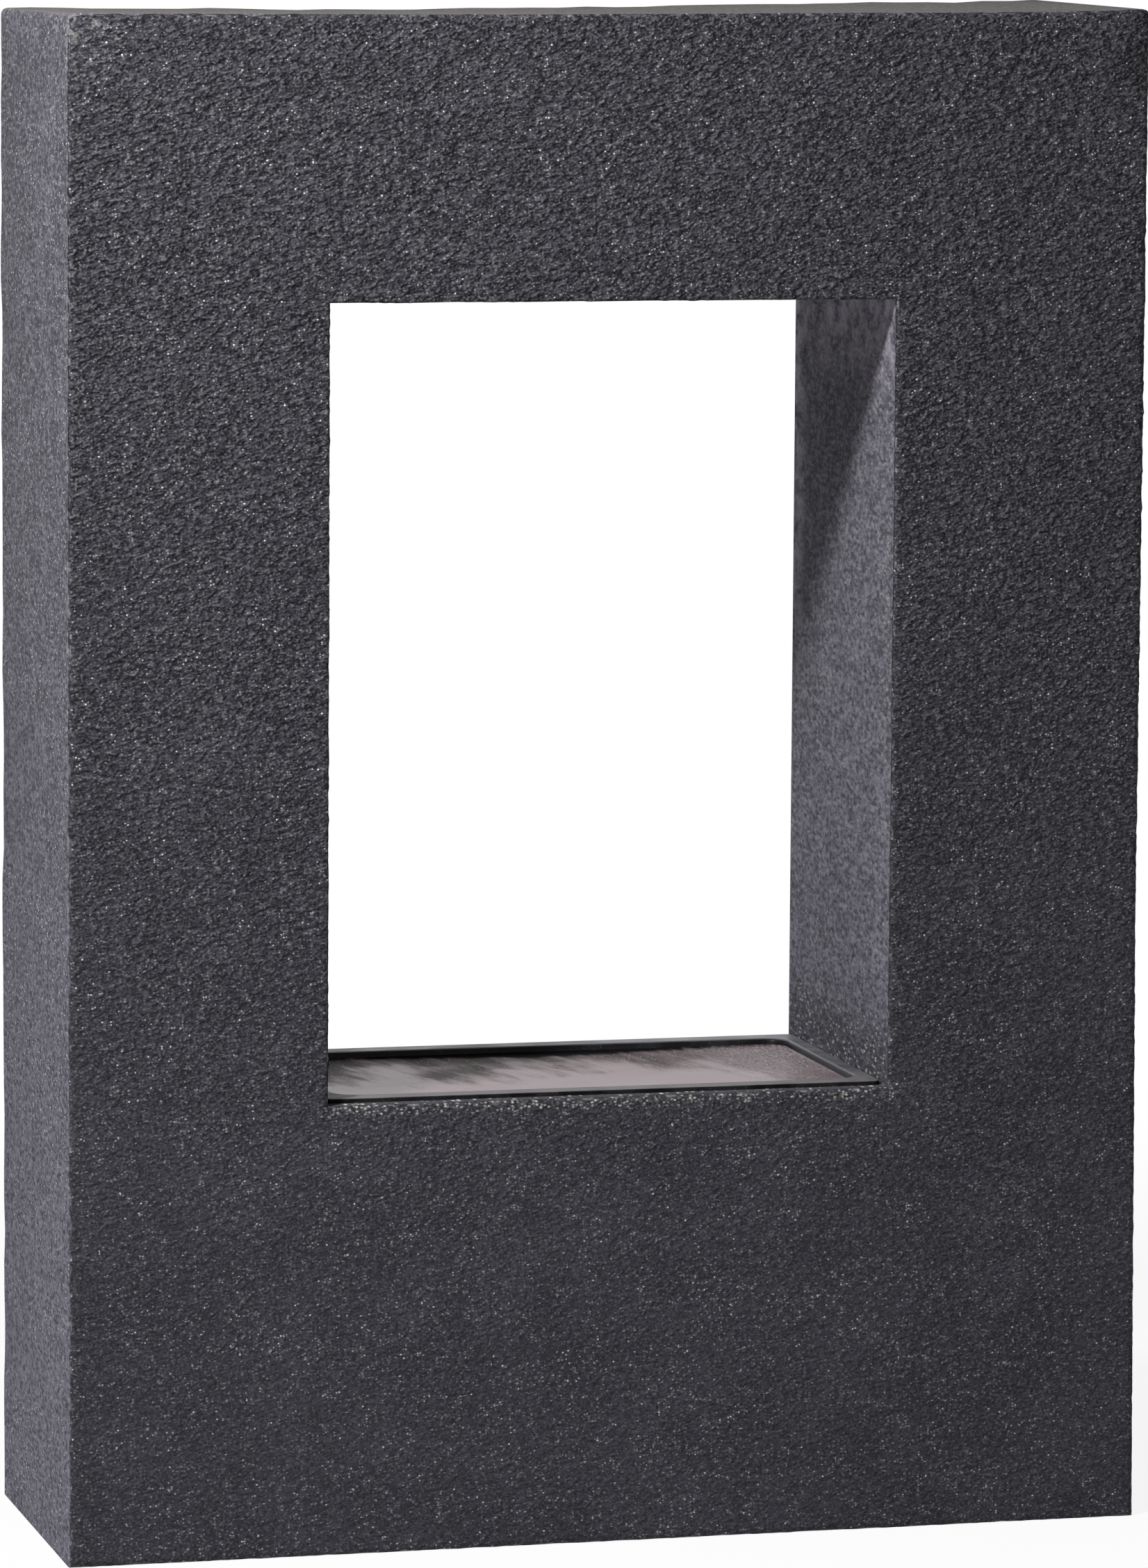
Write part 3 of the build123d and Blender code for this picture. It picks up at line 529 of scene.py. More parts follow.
# Pale olive specks along the sill's front arris, partly grit and partly painted glints.
on_sill = ramp(coat_stuff, place_z, sill_z + sill_fade, sill_z + sill_edge)
on_sill = times(coat_stuff, beside_window, on_sill)
sill_specks = specks(coat_stuff, place, sill_speck_rows, 0.52, 0.7)
colour = blend(coat_stuff, times(coat_stuff, sill_specks, on_sill, 0.8), colour, sill_speck_olive)
turn_depth = sums(coat_stuff, "SUBTRACT", place_y, times(coat_stuff, beside_window, window_delay))
turned_in = ramp(coat_stuff, turn_depth, turn_start_y, turn_end_y)
side_colour = bare_mortar(coat_stuff, place)[0]
dripped = times(coat_stuff, beside_window, ramp(coat_stuff, place_z, drip_top_z, drip_full_z), drip_most)
side_colour = blend(coat_stuff, dripped, side_colour, damp_dark)
colour = blend(coat_stuff, turned_in, colour, side_colour)
at_corner = times(
    coat_stuff,
    ramp(coat_stuff, place_x, corner_start_x, corner_full_x),
    ramp(coat_stuff, place_z, corner_start_z, corner_full_z, 0.0, corner_chips),
)
nicks = plus(coat_stuff, noise(coat_stuff, place, 160.0, 3.0, 0.6), at_corner)
chips = ramp(coat_stuff, nicks, 0.55, 0.66)
on_arris = ramp(coat_stuff, place_y, chip_start_y, chip_full_y)
off_side = ramp(coat_stuff, place_y, chip_end_y, chip_fade_y)
colour = blend(coat_stuff, times(coat_stuff, chips, on_arris, off_side, 0.4), colour, chip_pale)
feed(coat_stuff, coat_shader, "Base Color", colour)
coat_shader.inputs["Roughness"].default_value = 0.75
coat_shader.inputs["Specular IOR Level"].default_value = 0.03
facewards = sums(coat_stuff, "SUBTRACT", 1.0, turned_in)
ridges = times(coat_stuff, swell, rough_share, facewards)
ridges = plus(coat_stuff, ridges, times(coat_stuff, sand, rough_share, 0.15))
bumped(coat_stuff, coat_shader, ridges, grain_height)
face_coat.data.materials.append(coat_stuff)
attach(face_coat, "fountain")
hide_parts("stone_casting")


# Body of the frame: grey cement mortar poured behind the face coat, hollow and open at the back,
# with the window's walls, an access hole in the sill, a slot in the head and bosses for the panel.
rim_width, rebate_depth, ledge_width = 0.012, 0.015, 0.004
cavity_front_y = -0.074
cast_wall = 0.016
access_half_x, access_front_y, access_back_y, access_corner = 0.1367, -0.0717, 0.0717, 0.0157
slot_half_x, slot_front_y, slot_back_y = 0.0895, -0.0045, 0.0055
boss_radius, boss_x, boss_rows = 0.012, 0.244, (0.026, 0.258667, 0.491333, 0.724)
back_arris = 0.002
skin_columns, skin_rows = 36, 50
skin_margin = outer_arris + 0.0004
ripple_rows, ripple_depth = (0.04, 0.04, 0.04), 0.0024
ripple_gap, ripple_fade, ripple_start_z, ripple_rise = 0.002, 0.03, 0.02, 0.04
reveal_fade, reveal_margin, reveal_edge = 0.004, 0.002, 0.001
bounce_drop, bounce_start_y, bounce_full_y, bounce_start_z, bounce_full_z = 0.06, 0.06, 0.084, 0.36, 0.5
splash_top_z, splash_full_z, splash_ragged = 0.285, 0.245, 0.03
sparkle_rise, sparkle_back_y, sparkle_front_y = 0.05, -0.045, -0.08
fibre_rows, wisp_rows = (0.004, 0.006, 0.03), (0.01, 0.016, 0.012)
body_relief = 0.0008
sparkle_rows = (0.0027, 0.005, 0.0021)
bounce_light_pale = (0.45, 0.42, 0.485, 1)
top_brown = (0.15, 0.138, 0.125, 1)


def open_through(piece, outer_z, inner_z, half_x, front_y, back_y):
    """Cut a square-edged hole through a wall that lies between two heights."""

    def wall(face):
        centre = face.calc_center_median()
        flat = abs(centre.z - outer_z) < hair or abs(centre.z - inner_z) < hair
        return flat and abs(face.normal.z) > 0.9 and abs(centre.x) < window_half

    for axis, spot in ((0, -half_x), (0, half_x), (1, front_y), (1, back_y)):
        choose(piece, "FACE", wall)
        cut_across(axis, spot)
    choose(
        piece,
        "FACE",
        lambda face: wall(face)
        and abs(face.calc_center_median().x) < half_x
        and front_y < face.calc_center_median().y < back_y,
    )
    bpy.ops.mesh.delete(type="FACE")
    choose(piece, "EDGE", lambda edge: edge.is_boundary)
    bpy.ops.mesh.bridge_edge_loops()


def start_bar(sides, radius, length, place):
    """Add a bar that lies from front to back, round or with a few sides."""
    bpy.ops.object.select_all(action="DESELECT")
    bpy.ops.mesh.primitive_cylinder_add(
        vertices=sides, radius=radius, depth=length, location=place, rotation=(radians(90), 0, 0)
    )
    return bpy.context.object


def join_into(piece, others):
    """Make several objects one."""
    bpy.ops.object.select_all(action="DESELECT")
    for other in others:
        other.select_set(True)
    piece.select_set(True)
    bpy.context.view_layer.objects.active = piece
    bpy.ops.object.join()


stone_body = start_block("stone_body", (frame_low[0], coat_back_y, frame_low[2]), frame_high)
cut_window(stone_body)
choose(stone_body, "FACE", lambda face: face.normal.y > 0.9)
bpy.ops.mesh.inset(thickness=rim_width, use_boundary=True, use_even_offset=True)
bpy.ops.mesh.extrude_region_move(TRANSFORM_OT_translate={"value": (0, -rebate_depth, 0)})
bpy.ops.mesh.inset(thickness=ledge_width, use_boundary=True, use_even_offset=True)
cavity_run = cavity_front_y - (frame_high[1] - rebate_depth)
bpy.ops.mesh.extrude_region_move(TRANSFORM_OT_translate={"value": (0, cavity_run, 0)})
open_through(stone_body, sill_z, sill_z - cast_wall, access_half_x, access_front_y, access_back_y)
open_through(stone_body, head_z, head_z + cast_wall, slot_half_x, slot_front_y, slot_back_y)
choose(
    stone_body,
    "EDGE",
    lambda edge: along(edge, 2)
    and sill_z - cast_wall - hair < middle_of(edge).z < sill_z
    and abs(abs(middle_of(edge).x) - access_half_x) < hair,
)
bpy.ops.mesh.bevel(offset=access_corner, segments=6, affect="EDGES")
choose(
    stone_body,
    "EDGE",
    lambda edge: (
        (along(edge, 1) and is_sharp(edge) and middle_of(edge).z > frame_low[2] + hair)
        or (middle_of(edge).y > frame_high[1] - hair and is_sharp(edge))
    )
    and (
        abs(abs(middle_of(edge).x) - frame_high[0]) < hair
        or min(abs(middle_of(edge).z), abs(middle_of(edge).z - frame_high[2])) < hair
    ),
)
bpy.ops.mesh.bevel(offset=outer_arris, segments=arris_steps, affect="EDGES")
choose(
    stone_body,
    "EDGE",
    lambda edge: middle_of(edge).y > frame_high[1] - hair
    and is_sharp(edge)
    and on_window(middle_of(edge)),
)
bpy.ops.mesh.bevel(offset=back_arris, segments=arris_steps, affect="EDGES")
slice_all(0, evenly(frame_low[0], frame_high[0], skin_columns))
slice_all(2, evenly(frame_low[2], frame_high[2], skin_rows))
close_piece(stone_body, "stone_body")

skin = stone_body.vertex_groups.new(name="skin")
for vertex in stone_body.data.vertices:
    point = vertex.co
    outside = abs(point.x) > frame_high[0] - skin_margin or point.z > frame_high[2] - skin_margin
    behind = min(1, max(0, (point.y - coat_back_y - ripple_gap) / ripple_fade))
    above = min(1, max(0, (point.z - ripple_start_z) / ripple_rise))
    skin.add([vertex.index], outside * behind * above, "REPLACE")
displace(stone_body, "skin", "CLOUDS", ripple_rows, ripple_depth, (0, 0, 0), noise_scale=1, noise_depth=2)

lean(stone_body, "swell", "Z", top_swell, swell_top)
lean(stone_body, "end", "Z", end_rise, raise_end)
lean(stone_body, "foot", "X", foot_give, spread_foot)

bosses = []
for side in (-1, 1):
    for boss_z in boss_rows:
        boss_place = (side * boss_x, cavity_front_y - cavity_run / 2, boss_z)
        bosses.append(start_bar(32, boss_radius, -cavity_run, boss_place))
join_into(stone_body, bosses)
bpy.ops.object.shade_smooth_by_angle(angle=radians(40))

body_stuff, body_shader = new_material("grey_mortar")
place = object_place(body_stuff)
place_x, place_y, place_z = parts_of(body_stuff, place)
normal = add_node(body_stuff, "ShaderNodeNewGeometry", {}).outputs["Normal"]
facing_z = parts_of(body_stuff, normal)[2]
colour, sand = bare_mortar(body_stuff, place)
fibre = rows_noise(body_stuff, place, fibre_rows, 3.0)
colour = blend(body_stuff, ramp(body_stuff, fibre, 0.5, 0.3, 0.0, 0.25), colour, mortar_pore)
colour = blend(body_stuff, ramp(body_stuff, facing_z, 0.6, 0.9, 0.0, 0.6), colour, top_brown)
colour = blend(body_stuff, ramp(body_stuff, sand, 0.47, 0.32, 0.0, 0.7), colour, mortar_pore)
in_window = times(
    body_stuff,
    ramp(body_stuff, place_z, sill_z - reveal_fade, sill_z),
    ramp(body_stuff, place_z, head_z + reveal_fade, head_z),
    ramp(body_stuff, place_x, window_half + reveal_margin, window_half + reveal_edge),
    ramp(body_stuff, place_x, -window_half - reveal_margin, -window_half - reveal_edge),
)
# Painted light in the shaded window: paler near the head and along the back edge, where light spills in,
# broken into wisps.
back_bounce_light = times(
    body_stuff,
    ramp(body_stuff, place_y, bounce_start_y, bounce_full_y),
    ramp(body_stuff, place_z, bounce_start_z, bounce_full_z),
)
bounce_light = sums(body_stuff, "MAXIMUM", ramp(body_stuff, place_z, head_z - bounce_drop, head_z), back_bounce_light)
wisps = rows_noise(body_stuff, place, wisp_rows, 4.0, 0.65)
bounce_light = times(body_stuff, bounce_light, ramp(body_stuff, wisps, 0.36, 0.66), in_window, 0.65)
colour = blend(body_stuff, bounce_light, colour, bounce_light_pale)
ragged = times(body_stuff, noise(body_stuff, place, 60.0), splash_ragged)
splash_height = plus(body_stuff, place_z, ragged)
splashed = ramp(body_stuff, splash_height, splash_top_z, splash_full_z)
splashed = times(body_stuff, splashed, in_window)
colour = blend(body_stuff, times(body_stuff, splashed, 0.6), colour, damp_dark)
# White sparkles in the window, partly marble grit and partly painted glints, thickest in the splashed foot
# and toward the front arris.
sparkle = specks(body_stuff, place, sparkle_rows, 0.52, 0.75, core=0.35)
sparkle_spread = sums(
    body_stuff,
    "MAXIMUM",
    ramp(body_stuff, place_z, head_z, sill_z + sparkle_rise, 0.06, 0.16),
    ramp(body_stuff, place_y, sparkle_back_y, sparkle_front_y, 0.0, 0.4),
)
sparkle_spread = times(body_stuff, in_window, sparkle_spread)
sparkle = times(body_stuff, sparkle, sums(body_stuff, "MAXIMUM", splashed, sparkle_spread))
colour = blend(body_stuff, sparkle, colour, grit_and_glint_white)
feed(body_stuff, body_shader, "Base Color", colour)
body_shader.inputs["Roughness"].default_value = 0.8
body_shader.inputs["Specular IOR Level"].default_value = 0.03
rise = ramp(body_stuff, splashed, 0.0, 1.0, 0.5, 2.0)
bumped(body_stuff, body_shader, times(body_stuff, sand, rise), body_relief)
stone_body.data.materials.clear()
stone_body.data.materials.append(body_stuff)
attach(stone_body, "fountain")
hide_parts("stone_casting")


# Panel inserts: turned brass bushes, threaded inside, set in the bosses while the mortar is wet.
# They take the screws of the back panel.
brass_dark = (0.36, 0.235, 0.075, 1)
brass_light = (0.52, 0.36, 0.13, 1)


def dress(material, *names):
    """Give solids their finish."""
    for name in names:
        for material_slot in nodes[name].material_slots:
            material_slot.material = material


def grained(name, dark, light, rows, gloss, depth, metallic=0.0):
    """Finish of two close tones in a grain of a given size, its gloss and relief following the grain."""
    material, shader = new_material(name)
    grain = rows_noise(material, object_place(material), rows, 3.0, 0.6)
    feed(material, shader, "Base Color", blend(material, ramp(material, grain, 0.35, 0.65), dark, light))
    feed(material, shader, "Roughness", ramp(material, grain, 0.3, 0.7, *gloss))
    shader.inputs["Metallic"].default_value = metallic
    bumped(material, shader, grain, depth)
    return material


brass_rows, brass_relief = (0.004, 0.0003, 0.004), 0.00005
turned_brass = grained("turned_brass", brass_dark, brass_light, brass_rows, (0.28, 0.42), brass_relief, 1.0)
dress(turned_brass, "panel_inserts")


# Spout in the lintel: folded and welded stainless sheet with a pierced baffle inside, screwed down
# on a strip of closed-cell foam. Its neck passes through the slot in the window's head.
steel_dark = (0.36, 0.36, 0.37, 1)
steel_light = (0.5, 0.5, 0.5, 1)
foam_dark = (0.012, 0.012, 0.013, 1)
foam_grey = (0.04, 0.04, 0.042, 1)
brush_rows, lathe_rows, steel_relief = (0.04, 0.0002, 0.0002), (0.003, 0.003, 0.0002), 0.00002
brushed_steel = grained("brushed_steel", steel_dark, steel_light, brush_rows, (0.26, 0.42), steel_relief, 1.0)
dress(brushed_steel, "spout_trough", "spout_lid", "spout_baffle", "spout_inlet")
turned_steel = grained("turned_steel", steel_dark, steel_light, lathe_rows, (0.22, 0.36), steel_relief, 1.0)
dress(turned_steel, "spout_screws")
foam_stuff, foam_shader = new_material("closed_cell_foam")
cells = add_node(foam_stuff, "ShaderNodeTexVoronoi", {"Vector": object_place(foam_stuff), "Scale": 1400.0})
bubble = cells.outputs["Distance"]
colour = blend(foam_stuff, ramp(foam_stuff, bubble, 0.2, 0.7), foam_grey, foam_dark)
feed(foam_stuff, foam_shader, "Base Color", colour)
foam_shader.inputs["Roughness"].default_value = 0.9
bumped(foam_stuff, foam_shader, bubble, 0.0003)
dress(foam_stuff, "spout_gasket")


# Reservoir tub: thick black polythene with a turned-out lip, standing loose in the base. Hard water
# has left a grey tide mark round it below the rim.
tub_black = (0.016, 0.016, 0.018, 1)
tub_grey = (0.03, 0.03, 0.033, 1)
tide_grey = (0.11, 0.106, 0.1, 1)
tide_low, tide_high = 0.125, 0.142
tub_stuff, tub_shader = new_material("tide_marked_polythene")
place = object_place(tub_stuff)
grain = noise(tub_stuff, place, 1100.0, 2.0)
lap = rows_noise(tub_stuff, place, (0.05, 0.05, 0.006), 4.0, 0.6)
tide_height = plus(tub_stuff, parts_of(tub_stuff, place)[2], times(tub_stuff, lap, 0.02))
tide = times(
    tub_stuff,
    ramp(tub_stuff, tide_height, tide_low, tide_low + 0.006),
    ramp(tub_stuff, tide_height, tide_high + 0.012, tide_high),
    ramp(tub_stuff, lap, 0.35, 0.6),
)
colour = blend(tub_stuff, ramp(tub_stuff, grain, 0.35, 0.65), tub_black, tub_grey)
colour = blend(tub_stuff, times(tub_stuff, tide, 0.7), colour, tide_grey)
feed(tub_stuff, tub_shader, "Base Color", colour)
feed(tub_stuff, tub_shader, "Roughness", ramp(tub_stuff, tide, 0.0, 1.0, 0.42, 0.75))
bumped(tub_stuff, tub_shader, grain, 0.00015)
dress(tub_stuff, "reservoir_tub")


# Pump: a sealed motor block potted in black plastic, with a ferrite rotor on a ceramic pin between
# rubber bushes, a clipped-on volute, a slotted intake cover, a flow dial and four rubber suckers.
pump_black = (0.011, 0.011, 0.012, 1)
pump_grey = (0.022, 0.022, 0.024, 1)
dial_dark = (0.11, 0.115, 0.12, 1)
dial_light = (0.16, 0.165, 0.17, 1)
ferrite_dark = (0.03, 0.029, 0.029, 1)
ferrite_grey = (0.075, 0.073, 0.072, 1)
ceramic_cream = (0.62, 0.6, 0.55, 1)
ceramic_white = (0.72, 0.71, 0.68, 1)
rubber_black = (0.014, 0.014, 0.014, 1)
rubber_bloom = (0.034, 0.034, 0.035, 1)
spark_rows, satin_rows = (0.0006, 0.0006, 0.0006), (0.002, 0.002, 0.002)
sinter_rows, grind_rows = (0.0007, 0.0007, 0.0007), (0.0002, 0.004, 0.004)
rubber_rows = (0.003, 0.003, 0.003)
pump_plastic = grained("spark_grained_plastic", pump_black, pump_grey, spark_rows, (0.4, 0.6), 0.0001)
dress(pump_plastic, "pump_motor", "pump_volute", "pump_cover")
dial_plastic = grained("satin_grey_plastic", dial_dark, dial_light, satin_rows, (0.34, 0.5), 0.00004)
dress(dial_plastic, "impeller", "flow_dial")
ferrite = grained("sintered_ferrite", ferrite_dark, ferrite_grey, sinter_rows, (0.45, 0.7), 0.00008)
dress(ferrite, "rotor_magnet")
ceramic = grained("ground_ceramic", ceramic_cream, ceramic_white, grind_rows, (0.2, 0.34), 0.00001)
dress(ceramic, "rotor_shaft")
dusty_rubber = grained("dusty_rubber", rubber_black, rubber_bloom, rubber_rows, (0.6, 0.85), 0.00012)
dress(dusty_rubber, "chamber_seal", "shaft_bushes", "suction_feet", "pump_gland")


# Riser hose: milky vinyl tube pushed over a ridged tail at each end, pinched by spring bands and
# held to the window's wall by two bonded clips.
hose_milk = (0.42, 0.43, 0.41, 1)
hose_stain = (0.3, 0.295, 0.25, 1)
band_dark = (0.2, 0.205, 0.215, 1)
band_light = (0.33, 0.335, 0.345, 1)
hose_stuff, hose_shader = new_material("milky_vinyl")
place = object_place(hose_stuff)
stain = rows_noise(hose_stuff, place, (0.02, 0.02, 0.06), 4.0, 0.6)
drawn = rows_noise(hose_stuff, place, (0.0008, 0.0008, 0.05), 2.0)
colour = blend(hose_stuff, ramp(hose_stuff, stain, 0.4, 0.7), hose_milk, hose_stain)
feed(hose_stuff, hose_shader, "Base Color", colour)
feed(hose_stuff, hose_shader, "Roughness", ramp(hose_stuff, drawn, 0.3, 0.7, 0.2, 0.36))
hose_shader.inputs["Transmission Weight"].default_value = 0.25
bumped(hose_stuff, hose_shader, drawn, 0.00008)
dress(hose_stuff, "riser_hose")
dress(pump_plastic, "outlet_tail")
band_rows, nylon_rows = (0.006, 0.006, 0.0004), (0.0008, 0.0008, 0.0008)
spring_band = grained("blued_spring_steel", band_dark, band_light, band_rows, (0.3, 0.46), steel_relief, 1.0)
dress(spring_band, "lower_hose_clamp", "upper_hose_clamp")
dress(grained("moulded_nylon", tub_black, tub_grey, nylon_rows, (0.36, 0.52), 0.00006), "hose_clips")


# Back panel: a slab of the same mortar, trowelled off by hand, dropped into the rebate and held by
# countersunk screws. A rubber grommet low on one side lines the hole for the supply lead.
slab_dark = (0.085, 0.083, 0.092, 1)
slab_grey = (0.135, 0.132, 0.144, 1)
slab_pale = (0.19, 0.187, 0.196, 1)
slab_stuff, slab_shader = new_material("trowelled_mortar")
place = object_place(slab_stuff)
trowel_rows, trowel_turn = (0.16, 0.05, 0.018), (0, radians(24), 0)
sweep = rows_noise(slab_stuff, place, trowel_rows, 5.0, 0.62, trowel_turn)
mottle = noise(slab_stuff, place, 11.0, 4.0, 0.6)
sand = noise(slab_stuff, place, 700.0, 2.0, 0.6)
tone = plus(slab_stuff, times(slab_stuff, sweep, 0.6), times(slab_stuff, mottle, 0.4))
colour = blend(slab_stuff, ramp(slab_stuff, tone, 0.36, 0.64), slab_dark, slab_grey)
colour = blend(slab_stuff, ramp(slab_stuff, sweep, 0.56, 0.72, 0.0, 0.6), colour, slab_pale)
colour = blend(slab_stuff, ramp(slab_stuff, sand, 0.45, 0.3, 0.0, 0.6), colour, mortar_pore)
# Painted shade in the pinholes, which are also sunk in the relief.
pinholes = specks(slab_stuff, place, (0.011, 0.011, 0.009), 0.13, 0.4)
colour = blend(slab_stuff, pinholes, colour, shade_dark)
white = specks(slab_stuff, place, (0.003, 0.003, 0.003), 0.26, 0.14)
colour = blend(slab_stuff, times(slab_stuff, white, 0.7), colour, grit_and_glint_white)
feed(slab_stuff, slab_shader, "Base Color", colour)
feed(slab_stuff, slab_shader, "Roughness", ramp(slab_stuff, sweep, 0.3, 0.7, 0.85, 0.62))
slab_shader.inputs["Specular IOR Level"].default_value = 0.05
slab_height = plus(slab_stuff, sweep, times(slab_stuff, sand, 0.35))
slab_height = sums(slab_stuff, "SUBTRACT", slab_height, pinholes)
bumped(slab_stuff, slab_shader, slab_height, 0.0011)
dress(slab_stuff, "back_panel")
dress(dusty_rubber, "cable_grommet")


# Panel screws: countersunk stainless machine screws with a six-sided socket, driven flush with the
# back of the panel. One is made and copied to each boss.
screw_head, screw_shank, screw_reach = 0.005, 0.002, 0.024
head_depth = screw_head - screw_shank
head_chamfer, tip_chamfer = 0.0003, 0.0006
socket_radius, socket_depth = 0.00145, 0.002
panel_screws = start_bar(48, screw_head, head_depth, (0, frame_high[1] - head_depth / 2, 0))
bpy.ops.object.transform_apply(location=True, rotation=True, scale=True)
panel_screws.name = "panel_screw_set"
bpy.ops.object.mode_set(mode="EDIT")
choose(panel_screws, "FACE", lambda face: face.normal.y < -0.9)
neck = screw_shank / screw_head
bpy.ops.transform.resize(value=(neck, 1, neck), center_override=(0, frame_high[1] - head_depth, 0))
shank_run = head_depth + tip_chamfer - screw_reach
bpy.ops.mesh.extrude_region_move(TRANSFORM_OT_translate={"value": (0, shank_run, 0)})
bpy.ops.mesh.extrude_region_move(TRANSFORM_OT_translate={"value": (0, -tip_chamfer, 0)})
tip = 1 - tip_chamfer / screw_shank
bpy.ops.transform.resize(value=(tip, 1, tip), center_override=(0, frame_high[1] - screw_reach, 0))
choose(panel_screws, "FACE", lambda face: face.normal.y > 0.9)
bpy.ops.mesh.inset(thickness=head_chamfer)
choose(
    panel_screws,
    "EDGE",
    lambda edge: min((vert.co.xz.length for vert in edge.verts)) > screw_head - head_chamfer / 2,
)
bpy.ops.transform.translate(value=(0, -head_chamfer, 0))
close_piece(panel_screws, "panel_screw_set")
socket = start_bar(6, socket_radius, 2 * socket_depth, (0, frame_high[1], 0))


def bore_out(piece, cutter):
    """Take one object out of another and drop it."""
    bore = piece.modifiers.new("bore", "BOOLEAN")
    bore.object = cutter
    bore.operation = "DIFFERENCE"
    bpy.context.view_layer.objects.active = piece
    bpy.ops.object.modifier_apply(modifier="bore")
    bpy.data.objects.remove(cutter)


bore_out(panel_screws, socket)
screw_places = [(side * boss_x, 0, boss_z) for side in (-1, 1) for boss_z in boss_rows]
copies = []
for screw_place in screw_places[1:]:
    copy = panel_screws.copy()
    copy.data = panel_screws.data.copy()
    bpy.context.scene.collection.objects.link(copy)
    copy.location = screw_place
    copies.append(copy)
panel_screws.location = screw_places[0]
join_into(panel_screws, copies)
bpy.ops.object.transform_apply(location=True, rotation=True, scale=True)
bpy.ops.object.shade_smooth_by_angle(angle=radians(30))
panel_screws.data.materials.append(
    grained("screw_steel", steel_dark, steel_light, (0.0008, 0.004, 0.0008), (0.25, 0.5), 0.00003, 1.0)
)
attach(panel_screws, "fountain")
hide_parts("panel_screws")


# Catch tray: one moulding of black plastic, hung by its flange on the sill and lifted out by hand.
# A push-in overflow pipe of the same plastic holds its level. Standing water has left silt on both.
tray_black = (0.008, 0.0078, 0.0092, 1)
tray_grey = (0.02, 0.0194, 0.023, 1)
upward_grey = (0.11, 0.108, 0.124, 1)
lip_silt = (0.17, 0.158, 0.164, 1)
silt_brown = (0.1, 0.083, 0.07, 1)
lip_front_y, lip_back_y = -0.066, -0.05
tray_stuff, tray_shader = new_material("silted_black_plastic")
place = object_place(tray_stuff)
film = noise(tray_stuff, place, 45.0, 4.0, 0.6)
fine = noise(tray_stuff, place, 900.0, 1.0)
colour = blend(tray_stuff, ramp(tray_stuff, film, 0.4, 0.65), tray_black, tray_grey)
crust = times(tray_stuff, ramp(tray_stuff, fine, 0.6, 0.7), ramp(tray_stuff, film, 0.45, 0.6))
colour = blend(tray_stuff, times(tray_stuff, crust, 0.4), colour, silt_brown)
normal = add_node(tray_stuff, "ShaderNodeNewGeometry", {}).outputs["Normal"]
# Paler on the upward faces, in patches: the silt colour at the front lip, a grey behind it.
upward = ramp(tray_stuff, parts_of(tray_stuff, normal)[2], 0.6, 0.95)
behind_lip = ramp(tray_stuff, parts_of(tray_stuff, place)[1], lip_front_y, lip_back_y)
upward_pale = times(tray_stuff, upward, ramp(tray_stuff, film, 0.3, 0.7, 0.5, 1.0))
colour = blend(tray_stuff, upward_pale, colour, blend(tray_stuff, behind_lip, lip_silt, upward_grey))
feed(tray_stuff, tray_shader, "Base Color", colour)
feed(tray_stuff, tray_shader, "Roughness", ramp(tray_stuff, film, 0.3, 0.7, 0.32, 0.5))
rubbed = ramp(tray_stuff, upward, 0.0, 1.0, 0.06, 0.35)
shine = times(tray_stuff, rubbed, ramp(tray_stuff, behind_lip, 0.0, 1.0, 0.06, 1.0))
feed(tray_stuff, tray_shader, "Specular IOR Level", shine)
tray_shader.inputs["Specular IOR Level"].default_value = 0.2
bumped(tray_stuff, tray_shader, fine, 0.0001)
dress(tray_stuff, "catch_tray", "overflow_pipe")


# Still water in the tray: a few millimetres over silt, its skin drawn up where it meets the wall.
# It lies round the overflow pipe and lifts out with the tray.
water_half_x, water_half_y, water_corner = 0.1319, 0.0669, 0.0112
water_floor_z, water_top_z = 0.2104, 0.2207
water_pinch = 0.0028
meniscus_width, meniscus_rise = 0.0022, 0.0005
pipe_x, pipe_y, pipe_radius, pipe_length = -0.117, 0.052, 0.0071, 0.04
bank_front_y, bank_back_y = -0.075, 0.068
left_bank_start, left_bank_full, right_bank_start, right_bank_full = -0.09, -0.13, 0.06, 0.132
pale_start_x, pale_full_x = 0.05, 0.11
sag_reach, sag_depth, shade_start, shade_full = 0.11, 0.014, 0.07, 0.08
bright_start_x, bright_full_x, brighter = 0.07, 0.13, 1.8
drift_rows, feather_rows, streak_rows = (0.045, 0.07, 0.05), (0.0065, 0.036, 0.03), (0.1, 0.03, 0.05)
speckle_rows, silt_rows, scum_rows = (0.0011, 0.0045, 0.004), (0.0009, 0.004, 0.004), (0.002, 0.008, 0.004)
scum_height = 0.0006
water_grey = (0.13, 0.095, 0.103, 1)
water_brown = (0.058, 0.047, 0.043, 1)
film_pink = (1.0, 0.986, 0.991, 1)
silt_pale = (0.235, 0.213, 0.215, 1)
silt_glint = (0.5, 0.48, 0.45, 1)
still_water = start_block(
    "still_water", (-water_half_x, -water_half_y, water_floor_z), (water_half_x, water_half_y, water_top_z)
)
choose(still_water, "EDGE", lambda edge: along(edge, 2))
bpy.ops.mesh.bevel(offset=water_corner, segments=8, affect="EDGES")
choose(still_water, "FACE", lambda face: face.normal.z < -0.9)
bpy.ops.transform.resize(
    value=(1 - water_pinch / water_half_x, 1 - water_pinch / water_half_y, 1),
    center_override=(0, 0, water_floor_z),
)
choose(still_water, "FACE", lambda face: face.normal.z > 0.9)
bpy.ops.transform.translate(value=(0, 0, meniscus_rise))
bpy.ops.mesh.inset(thickness=meniscus_width / 2, use_even_offset=True)
bpy.ops.transform.translate(value=(0, 0, -meniscus_rise * 0.75))
bpy.ops.mesh.inset(thickness=meniscus_width / 2, use_even_offset=True)
bpy.ops.transform.translate(value=(0, 0, -meniscus_rise * 0.25))
close_piece(still_water, "still_water")
